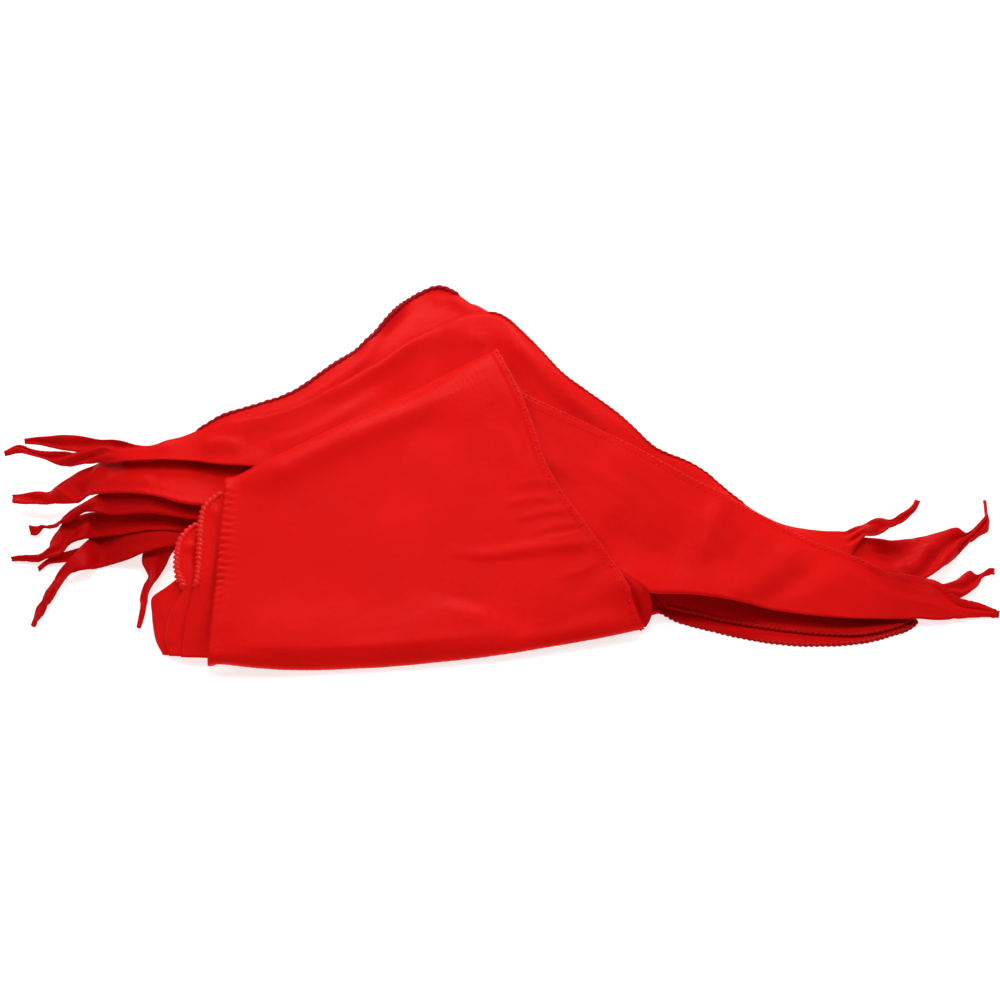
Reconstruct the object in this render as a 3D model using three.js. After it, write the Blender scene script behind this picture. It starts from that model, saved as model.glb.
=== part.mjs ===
// Bundle of red triangle scarves, folded together and laid on a table.
// Millimetres, +Z up, seen from the front along +Y. The underside is flat at z = 0.
import * as THREE from "three";

// Cloth
const wall = 1.2;
const gap = 0.2;
const tailThickness = 1.8;
const steepest = 0.5;
const rollShare = 0.05;

// Sight lines of the photograph, which give the places of the edges
const viewElevation = 35;
const viewDistance = 1667;
const viewHalfWidth = 0.18;
const viewTarget = new THREE.Vector3(4.6, -20.8, 20);
const pictureHalf = 500;

// Plan of the heap
const frontLine = -160.8;
const mapCell = 1.5;
const mapHalfX = 340;
const mapHalfY = 190;
const skylineRun = 4;

const scarfRed = 0xdc1512;
const satin = { color: scarfRed, roughness: 0.5, metalness: 0 };

// Named columns for each table
const table = (names, rows) =>
  rows.map((row) => Object.fromEntries(names.map((name, place) => [name, row[place]])));

const mix = (start, end, share) => start + (end - start) * share;

const clamp = (value, low, high) => Math.min(high, Math.max(low, value));

// Sight lines

const tilt = THREE.MathUtils.degToRad(viewElevation);
const lookAlong = new THREE.Vector3(0, Math.cos(tilt), -Math.sin(tilt));
const lookUp = new THREE.Vector3(0, Math.sin(tilt), Math.cos(tilt));
const eye = viewTarget.clone().addScaledVector(lookAlong, -viewDistance);

function sightLine(px, py) {
  const side = ((px - pictureHalf) / pictureHalf) * viewHalfWidth;
  const rise = ((pictureHalf - py) / pictureHalf) * viewHalfWidth;
  const line = lookAlong.clone().addScaledVector(lookUp, rise);
  line.x += side;
  return line;
}

// Point at a known height behind a place in the picture
function atHeight(px, py, height) {
  const line = sightLine(px, py);
  return eye.clone().addScaledVector(line, (height - eye.z) / line.z);
}

// Heap sections from left to right: the skyline point, its height, the front foot,
// the run of the back slope, the roundness of the front, the depth down to the core and
// how far the core stays behind the front foot
const sections = table(
  ["px", "py", "top", "foot", "back", "round", "under", "inset"],
  [
    [96, 452, 38, 70, 18, 1.6, 38, 60],
    [118, 446, 44, 58, 22, 1.6, 40, 66],
    [150, 446, 48, 45, 24, 1.6, 27, 76],
    [175, 440, 50, 22, 28, 1.5, 25, 96],
    [199, 430, 52, 6, 32, 1.35, 23, 34],
    [223, 418, 56, 3, 34, 1.3, 22, 20],
    [267, 403, 61, 2, 34, 1.3, 22, 20],
    [330, 370, 69, 0, 36, 1.25, 22, 20],
    [382, 331, 76, 2, 38, 1.25, 22, 20],
    [414, 300, 80, 3, 38, 1.25, 22, 20],
    [440, 292, 82, 4, 38, 1.25, 22, 20],
    [462, 300, 83, 6, 40, 1.25, 22, 20],
    [500, 316, 82, 8, 42, 1.25, 21, 20],
    [532, 345, 77, 10, 42, 1.3, 19, 20],
    [560, 375, 70, 14, 42, 1.3, 16, 20],
    [620, 419, 59, 24, 40, 1.4, 13, 20],
    [655, 450, 50, 34, 38, 1.6, 11, 20],
    [700, 471, 43, 36, 34, 1.8, 10, 20],
    [740, 502, 34, 30, 30, 1.8, 9, 20],
    [780, 524, 27, 25, 28, 1.9, 9, 20],
    [808, 531, 24, 22, 26, 2.0, 9, 20],
    [845, 534, 20, 24, 24, 2.0, 10, 20],
    [880, 550, 14, 32, 18, 1.9, 12, 20],
    [915, 572, 8, 42, 14, 1.6, 8, 20],
  ],
).map((row) => {
  const ridge = atHeight(row.px, row.py, row.top);
  return { ...row, x: ridge.x, ridge: ridge.y };
});

// Smooth value of one section column at a place across the heap
function sectionValue(column, x) {
  const last = sections.length - 1;
  if (x <= sections[0].x) return sections[0][column];
  if (x >= sections[last].x) return sections[last][column];
  const right = sections.findIndex((row) => row.x > x);
  const left = right - 1;
  const slope = (first, second) =>
    (sections[second][column] - sections[first][column]) / (sections[second].x - sections[first].x);
  const startSlope = slope(Math.max(left - 1, 0), right);
  const endSlope = slope(left, Math.min(right + 1, last));
  const span = sections[right].x - sections[left].x;
  const t = (x - sections[left].x) / span;
  const t2 = t * t;
  const t3 = t2 * t;
  return (
    (2 * t3 - 3 * t2 + 1) * sections[left][column] +
    (t3 - 2 * t2 + t) * span * startSlope +
    (3 * t2 - 2 * t3) * sections[right][column] +
    (t3 - t2) * span * endSlope
  );
}

function sectionAt(x) {
  const ridge = sectionValue("ridge", x);
  return {
    ridge,
    top: sectionValue("top", x),
    front: frontLine + sectionValue("foot", x),
    back: ridge + sectionValue("back", x),
    round: sectionValue("round", x),
    under: sectionValue("under", x),
    inset: sectionValue("inset", x),
  };
}

// Height of the heap's upper cloth over one place of the table
function heapTop(x, y) {
  const s = sectionAt(x);
  if (y <= s.front || y >= s.back) return 0;
  if (y < s.ridge) {
    return s.top * (1 - Math.pow((s.ridge - y) / (s.ridge - s.front), s.round));
  }
  return s.top * (1 - Math.pow((y - s.ridge) / (s.back - s.ridge), 2));
}

// Point of the heap, raised by a lift, that lies behind a place in the picture
function onHeap(px, py, lift) {
  const line = sightLine(px, py);
  const highest = 110;
  const lowest = wall / 2;
  const step = 0.5;
  let closest = null;
  let closestGap = Infinity;
  for (let z = highest; z >= lowest; z -= step) {
    const point = eye.clone().addScaledVector(line, (z - eye.z) / line.z);
    if (closest && point.y > sectionAt(point.x).ridge + skylineRun) break;
    const rest = Math.max(heapTop(point.x, point.y) + lift, lowest);
    if (z - rest < closestGap) {
      closestGap = z - rest;
      closest = point;
    }
    if (closestGap <= 0) break;
  }
  return closest;
}

// Height map of all that is already laid, which keeps each new layer clear of it

const mapColumns = Math.round((2 * mapHalfX) / mapCell);
const mapRows = Math.round((2 * mapHalfY) / mapCell);
const laid = new Float64Array(mapColumns * mapRows);

function mapPlace(x, y) {
  const column = clamp(Math.floor((x + mapHalfX) / mapCell), 1, mapColumns - 2);
  const row = clamp(Math.floor((y + mapHalfY) / mapCell), 1, mapRows - 2);
  return row * mapColumns + column;
}

const laidHeight = (x, y) => laid[mapPlace(x, y)];

// Places inside each cell of a sheet's grid, no more than half a map cell apart, each with
// the upright share of the wall's thickness there
function overCells(grid, visit) {
  for (let i = 0; i < grid.length - 1; i += 1) {
    for (let j = 0; j < grid[i].length - 1; j += 1) {
      const corners = [grid[i][j], grid[i + 1][j], grid[i][j + 1], grid[i + 1][j + 1]];
      const along = corners[0].distanceTo(corners[1]) + corners[2].distanceTo(corners[3]);
      const across = corners[0].distanceTo(corners[2]) + corners[1].distanceTo(corners[3]);
      const faceNormal = corners[3].clone().sub(corners[0]).cross(corners[1].clone().sub(corners[2]));
      const upright = 1 / Math.max(Math.abs(faceNormal.normalize().z), steepest);
      const alongSteps = Math.ceil(along / 2 / (mapCell / 2)) + 1;
      const acrossSteps = Math.ceil(across / 2 / (mapCell / 2)) + 1;
      for (let a = 0; a <= alongSteps; a += 1) {
        for (let b = 0; b <= acrossSteps; b += 1) {
          const near = corners[0].clone().lerp(corners[1], a / alongSteps);
          const far = corners[2].clone().lerp(corners[3], a / alongSteps);
          visit(i, j, near.lerp(far, b / acrossSteps), upright);
        }
      }
    }
  }
}

// Raise a sheet off what is already laid, and spread each rise softly over its neighbours
function drape(grid, halves) {
  const rounds = 6;
  for (let round = 0; round < rounds; round += 1) {
    const rise = grid.map((row) => row.map(() => 0));
    overCells(grid, (i, j, point, upright) => {
      const under = laidHeight(point.x, point.y);
      const half = Math.max(halves[i], halves[i + 1]);
      const wanted = under > 0 ? under + gap + half * upright : half;
      const need = wanted - point.z;
      if (need <= 0) return;
      for (const [a, b] of [[i, j], [i + 1, j], [i, j + 1], [i + 1, j + 1]]) {
        rise[a][b] = Math.max(rise[a][b], need);
      }
    });
    rise.forEach((row, i) =>
      row.forEach((need, j) => {
        const beside = [rise[i - 1]?.[j], rise[i + 1]?.[j], row[j - 1], row[j + 1]];
        const shared = Math.max(0, ...beside.filter((value) => value !== undefined)) / 2;
        grid[i][j].z += Math.max(need, shared);
      }),
    );
  }
}

function layDown(grid, halves) {
  overCells(grid, (i, j, point, upright) => {
    const half = Math.max(halves[i], halves[i + 1]);
    const place = mapPlace(point.x, point.y);
    laid[place] = Math.max(laid[place], point.z + half * upright);
  });
}

// Smooth curve through points
const along = (points, count) => new THREE.CatmullRomCurve3(points, false, "centripetal").getPoints(count);

// Closed wall round a grid of points, with a thickness for each station
function wallGeometry(grid, thickness) {
  const stations = grid.length;
  const across = grid[0].length;
  const positions = [];
  const normalAt = (i, j) => {
    const lengthwise = grid[Math.min(i + 1, stations - 1)][j].clone().sub(grid[Math.max(i - 1, 0)][j]);
    const crosswise = grid[i][Math.min(j + 1, across - 1)].clone().sub(grid[i][Math.max(j - 1, 0)]);
    return lengthwise.cross(crosswise).normalize();
  };
  for (const side of [0.5, -0.5]) {
    grid.forEach((row, i) =>
      row.forEach((point, j) => {
        const moved = point.clone().addScaledVector(normalAt(i, j), side * thickness[i]);
        positions.push(moved.x, moved.y, Math.max(moved.z, 0));
      }),
    );
  }
  const outer = (i, j) => i * across + j;
  const inner = (i, j) => stations * across + outer(i, j);
  const index = [];
  const face = (a, b, c, d) => index.push(a, b, c, a, c, d);
  for (let i = 0; i < stations - 1; i += 1) {
    for (let j = 0; j < across - 1; j += 1) {
      face(outer(i, j), outer(i + 1, j), outer(i + 1, j + 1), outer(i, j + 1));
      face(inner(i, j), inner(i, j + 1), inner(i + 1, j + 1), inner(i + 1, j));
    }
    face(outer(i, 0), inner(i, 0), inner(i + 1, 0), outer(i + 1, 0));
    const end = across - 1;
    face(outer(i, end), outer(i + 1, end), inner(i + 1, end), inner(i, end));
  }
  for (let j = 0; j < across - 1; j += 1) {
    const end = stations - 1;
    face(outer(0, j), outer(0, j + 1), inner(0, j + 1), inner(0, j));
    face(outer(end, j), inner(end, j), inner(end, j + 1), outer(end, j + 1));
  }
  const geometry = new THREE.BufferGeometry();
  geometry.setAttribute("position", new THREE.Float32BufferAttribute(positions, 3));
  geometry.setIndex(index);
  geometry.computeVertexNormals();
  return geometry;
}

// The bundle
const bundle = new THREE.Group();

function addMesh(name, geometry) {
  const mesh = new THREE.Mesh(geometry, new THREE.MeshStandardMaterial(satin));
  mesh.name = name;
  bundle.add(mesh);
}

// Shares across a sheet, crowded at its edges where they are rolled
function acrossShares(cells, roll) {
  const shares = [];
  for (let j = 0; j <= cells; j += 1) shares.push(j / cells);
  if (!roll) return shares;
  const near = [0, 0.25, 0.6, 1.1].map((part) => part * rollShare);
  const middle = shares.filter((share) => share > 1.6 * rollShare && share < 1 - 1.6 * rollShare);
  return [...near, ...middle, ...near.map((share) => 1 - share).reverse()];
}

// Quarter round rise from a rolled edge up to the flat of the sheet
function rollRise(share, roll) {
  const inward = Math.min(share, 1 - share) / rollShare;
  return inward >= 1 ? roll : roll * Math.sqrt(1 - (1 - inward) ** 2);
}

// Points from the back edge to the front edge of one row of a sheet
function rowPoints(row, shares, roll) {
  return shares.map((share) => {
    const px = mix(row.backX, row.frontX, share);
    const py = mix(row.backY, row.frontY, share);
    const height = mix(row.backUp, row.frontUp, share) + rollRise(share, roll);
    return row.tail ? atHeight(px, py, height) : onHeap(px, py, height);
  });
}

// One cloth layer, laid on what is there already
function addLayer(name, crossRows, rowThickness, stations) {
  const lines = crossRows[0].map((_, j) => along(crossRows.map((points) => points[j]), stations));
  const grid = lines[0].map((_, i) => lines.map((line) => line[i]));
  const thickness = grid.map((_, i) => {
    const place = (i / stations) * (rowThickness.length - 1);
    const next = Math.min(Math.ceil(place), rowThickness.length - 1);
    return mix(rowThickness[Math.floor(place)], rowThickness[next], place % 1);
  });
  const halves = thickness.map((value) => value / 2);
  drape(grid, halves);
  layDown(grid, halves);
  addMesh(name, wallGeometry(grid, thickness));
}

const edgeColumns = ["backX", "backY", "backUp", "frontX", "frontY", "frontUp"];

// A sheet: a left tail, a body whose heights are lifts off the heap, and a right tail
function addSheet(name, { left = [], body, right = [], cells = 6, stations = 26, roll = 0, thick = wall }) {
  const tailRows = (rows) => table(edgeColumns, rows).map((row) => ({ ...row, tail: true }));
  const rows = [...tailRows(left), ...table(edgeColumns, body), ...tailRows(right)];
  const shares = acrossShares(cells, roll);
  const crossRows = rows.map((row) => rowPoints(row, shares, roll));
  addLayer(name, crossRows, rows.map((row) => (row.tail ? tailThickness : thick)), stations);
}

// The sheet that hangs down the hidden back of the heap to the table
function addBackDrop(name, { firstX, lastX, rows, cells, stations, lap, reach, lift }) {
  const crossRows = [];
  for (let i = 0; i <= rows; i += 1) {
    const x = mix(firstX, lastX, i / rows);
    const s = sectionAt(x);
    const points = [];
    for (let j = 0; j <= cells; j += 1) {
      const y = mix(s.back + reach, s.ridge - lap, j / cells);
      points.push(new THREE.Vector3(x, y, Math.max(heapTop(x, y) + lift, wall / 2)));
    }
    crossRows.push(points);
  }
  addLayer(name, crossRows, crossRows.map(() => wall), stations);
}

// Rounded core that stands for the hidden layers, with a flat underside
function addCore(name, { firstX, lastX, stations, cells, backInset, rim }) {
  const grid = [];
  for (let i = 0; i <= stations; i += 1) {
    const x = mix(firstX, lastX, i / stations);
    const s = sectionAt(x);
    const row = [];
    for (let j = 0; j <= cells; j += 1) {
      const y = mix(s.back - backInset, s.front + s.inset, j / cells);
      row.push(new THREE.Vector3(x, y, Math.max(rim, heapTop(x, y) - s.under)));
    }
    grid.push(row);
  }
  layDown(grid, grid.map(() => 0));
  const geometry = wallGeometry(grid, grid.map(() => 0));
  const position = geometry.getAttribute("position");
  grid.flat().forEach((point, place) => {
    position.setXYZ(place, point.x, point.y, 0);
    position.setXYZ(place + position.count / 2, point.x, point.y, point.z);
  });
  addMesh(name, geometry);
}

addCore("folded_core", {
  firstX: -223,
  lastX: 237,
  stations: 28,
  cells: 10,
  backInset: 6,
  rim: 1.0,
});

addSheet("right_under_sheet_1", {
  cells: 4,
  stations: 16,
  body: [
    [640, 590, -8, 655, 608, -8],
    [668, 588, -8, 682, 622, -8],
    [706, 592, -8, 717, 631, -8],
    [746, 598, -8, 759, 640, -8],
    [788, 604, -8, 794, 644, -8],
    [832, 608, -8, 836, 644, -8],
    [862, 610, -8, 866, 641, -8],
    [884, 612, -8, 889, 635, -8],
    [900, 614, -8, 909, 628, -8],
    [908, 615, -8, 917, 620, -8],
  ],
});

addSheet("right_under_sheet_2", {
  cells: 4,
  stations: 16,
  body: [
    [645, 585, -6, 665, 606, -6],
    [690, 588, -6, 700, 614, -6],
    [716, 592, -6, 724, 621, -6],
    [758, 597, -6, 766, 629, -6],
    [815, 602, -6, 822, 635, -6],
    [856, 606, -6, 860, 636, -6],
    [880, 609, -6, 886, 631, -6],
    [900, 612, -6, 906, 624, -6],
    [908, 614, -6, 914, 619, -6],
  ],
});

addSheet("right_back_sheet_2", {
  cells: 4,
  stations: 18,
  body: [
    [800, 550, -7, 812, 585, -7],
    [840, 555, -7, 852, 592, -7],
    [880, 565, -7, 892, 597, -7],
    [905, 573, -6, 915, 598, -6],
  ],
  right: [
    [929, 581, 5, 935, 598, 4],
    [942, 586, 4, 950, 598, 3],
    [955, 580, 6, 962, 597, 3],
    [969, 573, 5, 972, 592, 3],
    [976, 575, 5, 979, 583, 3],
    [983, 572, 5, 984, 576, 4],
    [989, 569, 4, 990, 575, 3],
    [994, 569, 3, 994, 574, 2],
  ],
});

addSheet("right_back_sheet_1", {
  cells: 4,
  stations: 20,
  body: [
    [788, 532, -5, 796, 560, -5],
    [820, 534, -4, 830, 562, -4],
    [850, 536, -4, 862, 567, -4],
    [880, 539, -3, 892, 573, -3],
  ],
  right: [
    [905, 541, 13, 917, 578, 9],
    [920, 534, 12, 935, 573, 8],
    [940, 532, 12, 949, 562, 7],
    [955, 531, 11, 960, 551, 8],
    [966, 533, 10, 971, 542, 7],
    [975, 527, 10, 979, 536, 7],
    [983, 519, 10, 988, 530, 8],
    [984, 511, 10, 987, 515, 9],
    [983, 501, 11, 986, 501, 10],
  ],
});

addSheet("left_hanging_sheet", {
  cells: 4,
  stations: 14,
  left: [
    [137, 627, 1.5, 140, 627, 1.5],
    [139, 617, 2.5, 143, 618, 2.5],
    [141, 607, 3.5, 147, 606, 3.5],
    [140, 600, 4, 148, 597, 4],
    [144, 584, 5, 152, 588, 5],
    [148, 574, 6, 158, 577, 6],
    [142, 561, 7, 166, 563, 7],
  ],
  body: [
    [143, 552, -24, 172, 553, -24],
    [146, 538, -23, 186, 538, -23],
    [150, 524, -23, 200, 524, -23],
  ],
});

addSheet("left_sheet_6", {
  cells: 4,
  stations: 14,
  left: [
    [38, 568, 1.5, 39, 571, 1.5],
    [48, 560, 3, 49, 564, 2],
    [60, 556, 5, 60, 563, 3],
    [75, 551, 8, 76, 563, 5],
    [90, 545, 11, 91, 562, 7],
  ],
  body: [
    [108, 538, -27, 108, 559, -27],
    [130, 533, -24, 130, 552, -24],
    [170, 526, -22, 170, 548, -22],
  ],
});

addSheet("left_sheet_5", {
  cells: 5,
  stations: 20,
  left: [
    [31, 624, 1.5, 35, 627, 1.5],
    [35, 612, 2.5, 41, 617, 2],
    [43, 598, 4, 50, 603, 3],
    [52, 584, 5, 60, 588, 4],
    [60, 570, 7, 72, 574, 5],
    [74, 553, 11, 86, 570, 7],
  ],
  body: [
    [100, 532, -24, 101, 567, -24],
    [125, 526, -22, 125, 561, -22],
    [160, 520, -20, 158, 556, -20],
    [200, 515, -20, 195, 556, -20],
  ],
});

addSheet("left_sheet_4", {
  cells: 4,
  stations: 20,
  left: [
    [11, 558, 1.6, 12, 561, 1.5],
    [25, 555, 2.5, 25, 561, 2],
    [40, 553, 4, 40, 562, 3],
    [50, 544, 8, 49, 560, 4],
    [60, 528, 9, 60, 558, 4],
    [72, 519, 12, 68, 547, 7],
    [84, 513, 15, 81, 541, 10],
  ],
  body: [
    [100, 513, -18, 97, 538, -18],
    [122, 511, -17, 120, 535, -17],
    [165, 508, -17, 165, 532, -17],
    [200, 505, -17, 200, 532, -17],
  ],
});

addSheet("left_sheet_3", {
  cells: 4,
  stations: 20,
  left: [
    [29, 526, 2, 31, 535, 2],
    [36, 527, 3, 37, 535, 2.5],
    [43, 526, 4, 43, 529, 3],
    [50, 526, 6, 50, 529, 5],
    [57, 524, 8, 57, 529, 7],
    [64, 517, 14, 66, 525, 13],
    [71, 509, 19, 73, 519, 17],
    [84, 502, 25, 86, 511, 22],
  ],
  body: [
    [110, 490, -10, 110, 515, -10.5],
    [150, 485, -10, 150, 514, -10.5],
    [197, 490, -10, 197, 520, -10.5],
    [236, 488, -10, 236, 520, -10.5],
  ],
});

addSheet("left_sheet_2", {
  cells: 5,
  stations: 22,
  left: [
    [12, 494, 10, 13, 504, 9],
    [25, 494, 11, 25, 505, 10],
    [40, 493, 13, 40, 504, 11],
    [50, 492, 15, 51, 504, 12],
    [60, 484, 19, 64, 504, 14],
    [75, 476, 24, 78, 503, 18],
    [87, 470, 28, 88, 498, 21],
  ],
  body: [
    [103, 463, -8, 102, 494, -8],
    [130, 458, -8, 130, 493, -8],
    [160, 455, -8, 160, 497, -8],
    [180, 453, -8, 180, 503, -8],
    [205, 455, -8, 202, 506, -8],
    [250, 462, -8, 246, 508, -8],
  ],
});

addBackDrop("back_drop_sheet", {
  firstX: -217,
  lastX: 181,
  rows: 22,
  cells: 5,
  stations: 28,
  lap: 10,
  reach: 6,
  lift: -4.5,
});

addSheet("back_sheet_1", {
  cells: 4,
  stations: 32,
  left: [
    [25, 440, 26, 25, 444, 25],
    [40, 438, 28, 40, 445, 26],
    [50, 437, 31, 50, 447, 28],
    [70, 436, 35, 68, 451, 31],
    [85, 437, 38, 85, 453, 34],
    [100, 439, 41, 100, 455, 37],
  ],
  body: [
    [120, 441, -2, 120, 457, -2],
    [148, 446, -2, 148, 456, -2],
    [180, 438, -2, 180, 450, -2],
    [199, 430, -2, 199, 448, -2],
    [223, 416, -2, 223, 441, -2],
    [267, 403, -2, 267, 433, -2],
    [295, 392, -2, 297, 428, -2],
    [330, 368, -2, 335, 410, -2],
    [366, 345, -2, 372, 390, -2],
    [390, 316, -2, 400, 370, -2],
    [414, 297, -2, 424, 355, -2],
    [438, 287, -2, 446, 345, -2],
    [457, 294, -2, 462, 342, -2],
    [480, 312, -2, 484, 345, -2],
  ],
});

addSheet("back_sheet_2", {
  cells: 5,
  stations: 42,
  left: [
    [4, 452, 23, 5, 456, 22],
    [18, 446, 25, 18, 453, 23],
    [37, 451, 27, 38, 457, 25],
    [50, 452, 30, 46, 460, 26],
    [65, 452, 33, 60, 465, 28],
    [82, 452, 36, 78, 465, 31],
    [102, 451, 40, 102, 463, 36],
  ],
  body: [
    [120, 450, 0, 122, 461, 0],
    [160, 446, 0, 162, 459, 0],
    [200, 434, 0, 200, 461, 0],
    [219, 425, 0, 220, 464, 0],
    [245, 420, 0, 255, 467, 0],
    [286, 412, 0, 300, 480, 0],
    [330, 390, 0, 345, 470, 0],
    [369, 368, 0, 390, 450, 0],
    [429, 330, 0, 440, 425, 0],
    [456, 318, 0, 470, 410, 0],
    [481, 313, 0, 500, 405, 0],
    [500, 315, 0, 530, 420, 0],
    [532, 344, 0, 560, 445, 0],
    [560, 374, 0, 590, 455, 0],
    [620, 417, 0, 635, 475, 0],
    [655, 449, 0, 675, 495, 0],
    [700, 470, 0, 712, 515, 0],
    [740, 502, 0, 750, 538, 0],
    [780, 524, 0, 790, 553, 0],
    [808, 530, 0, 822, 558, 0],
    [835, 532, 0, 845, 560, 0],
  ],
  right: [
    [851, 531, 18, 858, 549, 15],
    [866, 523, 17, 868, 541, 14],
    [878, 519, 16, 880, 534, 13],
    [889, 521, 14, 891, 528, 12],
    [900, 515, 13, 904, 521, 11],
    [909, 509, 12, 913, 513, 10],
    [915, 501, 11, 919, 503, 10],
  ],
});

addSheet("right_top_sheet", {
  cells: 7,
  stations: 26,
  body: [
    [500, 384, 3, 585, 597, 3],
    [538, 402, 3, 625, 598, 3],
    [587, 425, 3, 660, 597, 3],
    [640, 452, 3, 700, 598, 3],
    [700, 485, 3, 745, 605, 3],
    [759, 515, 3, 790, 612, 3],
    [810, 540, 3, 830, 616, 3],
    [850, 555, 3, 866, 618, 3],
    [885, 572, 3, 901, 619, 3],
  ],
  right: [
    [915, 577, 10, 925, 619, 5],
    [935, 583, 8, 945, 619, 4],
    [955, 599, 5, 960, 618, 3],
    [981, 606, 3, 982, 616, 2],
    [999, 613, 2, 999, 617, 1.6],
  ],
});

addSheet("pack_leaf_0", {
  cells: 4,
  stations: 8,
  body: [
    [188, 570, 2, 240, 572, 2],
    [166, 587, 2, 240, 588, 2],
    [152, 598, 1.5, 238, 603, 2],
    [152, 612, 1.2, 235, 618, 1.5],
    [156, 640, 0.8, 230, 642, 0.8],
    [163, 655, 0.6, 228, 656, 0.6],
  ],
});

addSheet("pack_leaf_1", {
  cells: 5,
  stations: 14,
  body: [
    [197, 523, 4, 250, 520, 4],
    [186, 530, 4, 250, 530, 4],
    [178, 541, 4, 248, 541, 4],
    [175, 557, 4, 246, 557, 4],
    [176, 575, 4, 244, 577, 4],
    [182, 589, 4, 242, 590, 4],
    [171, 612, 3.6, 236, 612, 3.6],
    [166, 640, 2.8, 232, 640, 2.8],
    [169, 656, 2.4, 230, 657, 2.4],
  ],
});

addSheet("pack_leaf_2", {
  cells: 5,
  stations: 14,
  body: [
    [221, 493, 6, 262, 488, 7],
    [211, 499, 6, 260, 497, 7],
    [203, 507, 6, 258, 507, 7],
    [199, 523, 6, 256, 523, 7],
    [198, 550, 6, 252, 550, 7],
    [195, 581, 6, 250, 581, 7],
    [190, 600, 6, 246, 600, 6.5],
    [184, 626, 5, 242, 626, 5],
    [181, 657, 4.2, 238, 658, 4.2],
  ],
});

addSheet("pack_right_leaf", {
  cells: 4,
  stations: 8,
  body: [
    [590, 556, 4.5, 612, 566, 4.5],
    [596, 572, 4.5, 629, 580, 4.5],
    [602, 590, 4, 641, 592, 4],
    [606, 603, 3, 648, 602, 3],
    [610, 615, 1.5, 652, 617, 1.5],
    [612, 630, 0.8, 646, 627, 0.8],
  ],
});

addSheet("pack_core", {
  cells: 5,
  stations: 12,
  thick: 3.2,
  body: [
    [272, 475, 6.2, 262, 648, 5],
    [330, 447, 6.2, 340, 650, 5],
    [390, 418, 6.2, 420, 645, 5],
    [440, 394, 6.2, 490, 638, 5],
    [470, 380, 6.2, 550, 626, 5],
    [482, 378, 6.2, 592, 614, 5],
  ],
});

addSheet("front_panel", {
  cells: 10,
  stations: 20,
  roll: 5,
  body: [
    [226, 483, 4, 208, 661, 6.5],
    [250, 471, 4, 240, 663, 6],
    [290, 451, 4, 285, 666, 3.5],
    [330, 432, 4, 335, 667, 1.5],
    [370, 412, 4, 400, 664, 1.5],
    [410, 392, 4, 460, 658, 1.5],
    [450, 373, 4, 520, 650, 1.5],
    [475, 360, 4, 575, 641, 1.5],
    [490, 353, 4, 620, 633, 3],
    [497, 350, 4, 643, 628, 4],
  ],
});

export default bundle;
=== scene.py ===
# Folded bundle of red triangle scarves on a pale floor.
# Places are worked out in millimetres, +Z up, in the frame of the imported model.
import math
import bpy
import numpy as np
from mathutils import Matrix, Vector


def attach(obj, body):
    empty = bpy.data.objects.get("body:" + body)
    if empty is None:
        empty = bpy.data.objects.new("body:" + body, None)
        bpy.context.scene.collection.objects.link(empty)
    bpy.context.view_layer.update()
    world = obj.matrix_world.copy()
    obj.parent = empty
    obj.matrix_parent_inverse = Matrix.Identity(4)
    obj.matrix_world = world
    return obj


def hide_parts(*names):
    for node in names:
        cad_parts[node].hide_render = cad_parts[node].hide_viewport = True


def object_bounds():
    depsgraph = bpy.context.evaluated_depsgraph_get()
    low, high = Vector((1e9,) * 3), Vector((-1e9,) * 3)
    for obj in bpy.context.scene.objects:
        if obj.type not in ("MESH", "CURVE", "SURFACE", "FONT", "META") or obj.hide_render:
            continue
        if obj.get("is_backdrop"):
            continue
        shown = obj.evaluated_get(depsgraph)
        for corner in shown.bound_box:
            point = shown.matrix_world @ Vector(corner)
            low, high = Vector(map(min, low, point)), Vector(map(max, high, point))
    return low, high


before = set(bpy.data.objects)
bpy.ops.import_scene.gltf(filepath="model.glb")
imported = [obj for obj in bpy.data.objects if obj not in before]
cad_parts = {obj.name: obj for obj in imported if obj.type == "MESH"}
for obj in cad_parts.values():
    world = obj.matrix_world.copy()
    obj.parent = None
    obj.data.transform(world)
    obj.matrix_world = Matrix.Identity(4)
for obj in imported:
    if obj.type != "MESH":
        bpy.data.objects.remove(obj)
cad_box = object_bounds()

METRE = 0.001
FULL_TURN = 2 * math.pi

# Cloth: its wall, and half of the room that a layer takes, in the body and in a tail
WALL, TAIL_EXTRA = 0.7, 0.5
LAYER_HALF, TAIL_HALF = 0.6, 0.9
# Gap between two layers, and the lowest point of a layer over the table
GAP, LOWEST = 0.2, 0.05
# Steeper layers than this, as the upright part of a normal, take no more room
STEEPEST = 0.5
HEM_WIDTH = 4.0

# Sight lines of the photograph
VIEW_ELEVATION = 35
VIEW_DISTANCE = 1667
VIEW_HALF_WIDTH = 0.18
VIEW_TARGET = np.array([4.6, -20.8, 20.0])
PICTURE_HALF = 500
LENS = 100
SENSOR = 36

# Plan of the heap
FRONT_LINE = -160.8
HEAP_TOP = 110
# How far behind the ridge a sight line still looks for the heap
SKYLINE_RUN = 4
# Maps of the heights laid so far
MAP_CELL = 1.25
MAP_HALF_X = 340
MAP_HALF_Y = 190

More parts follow.
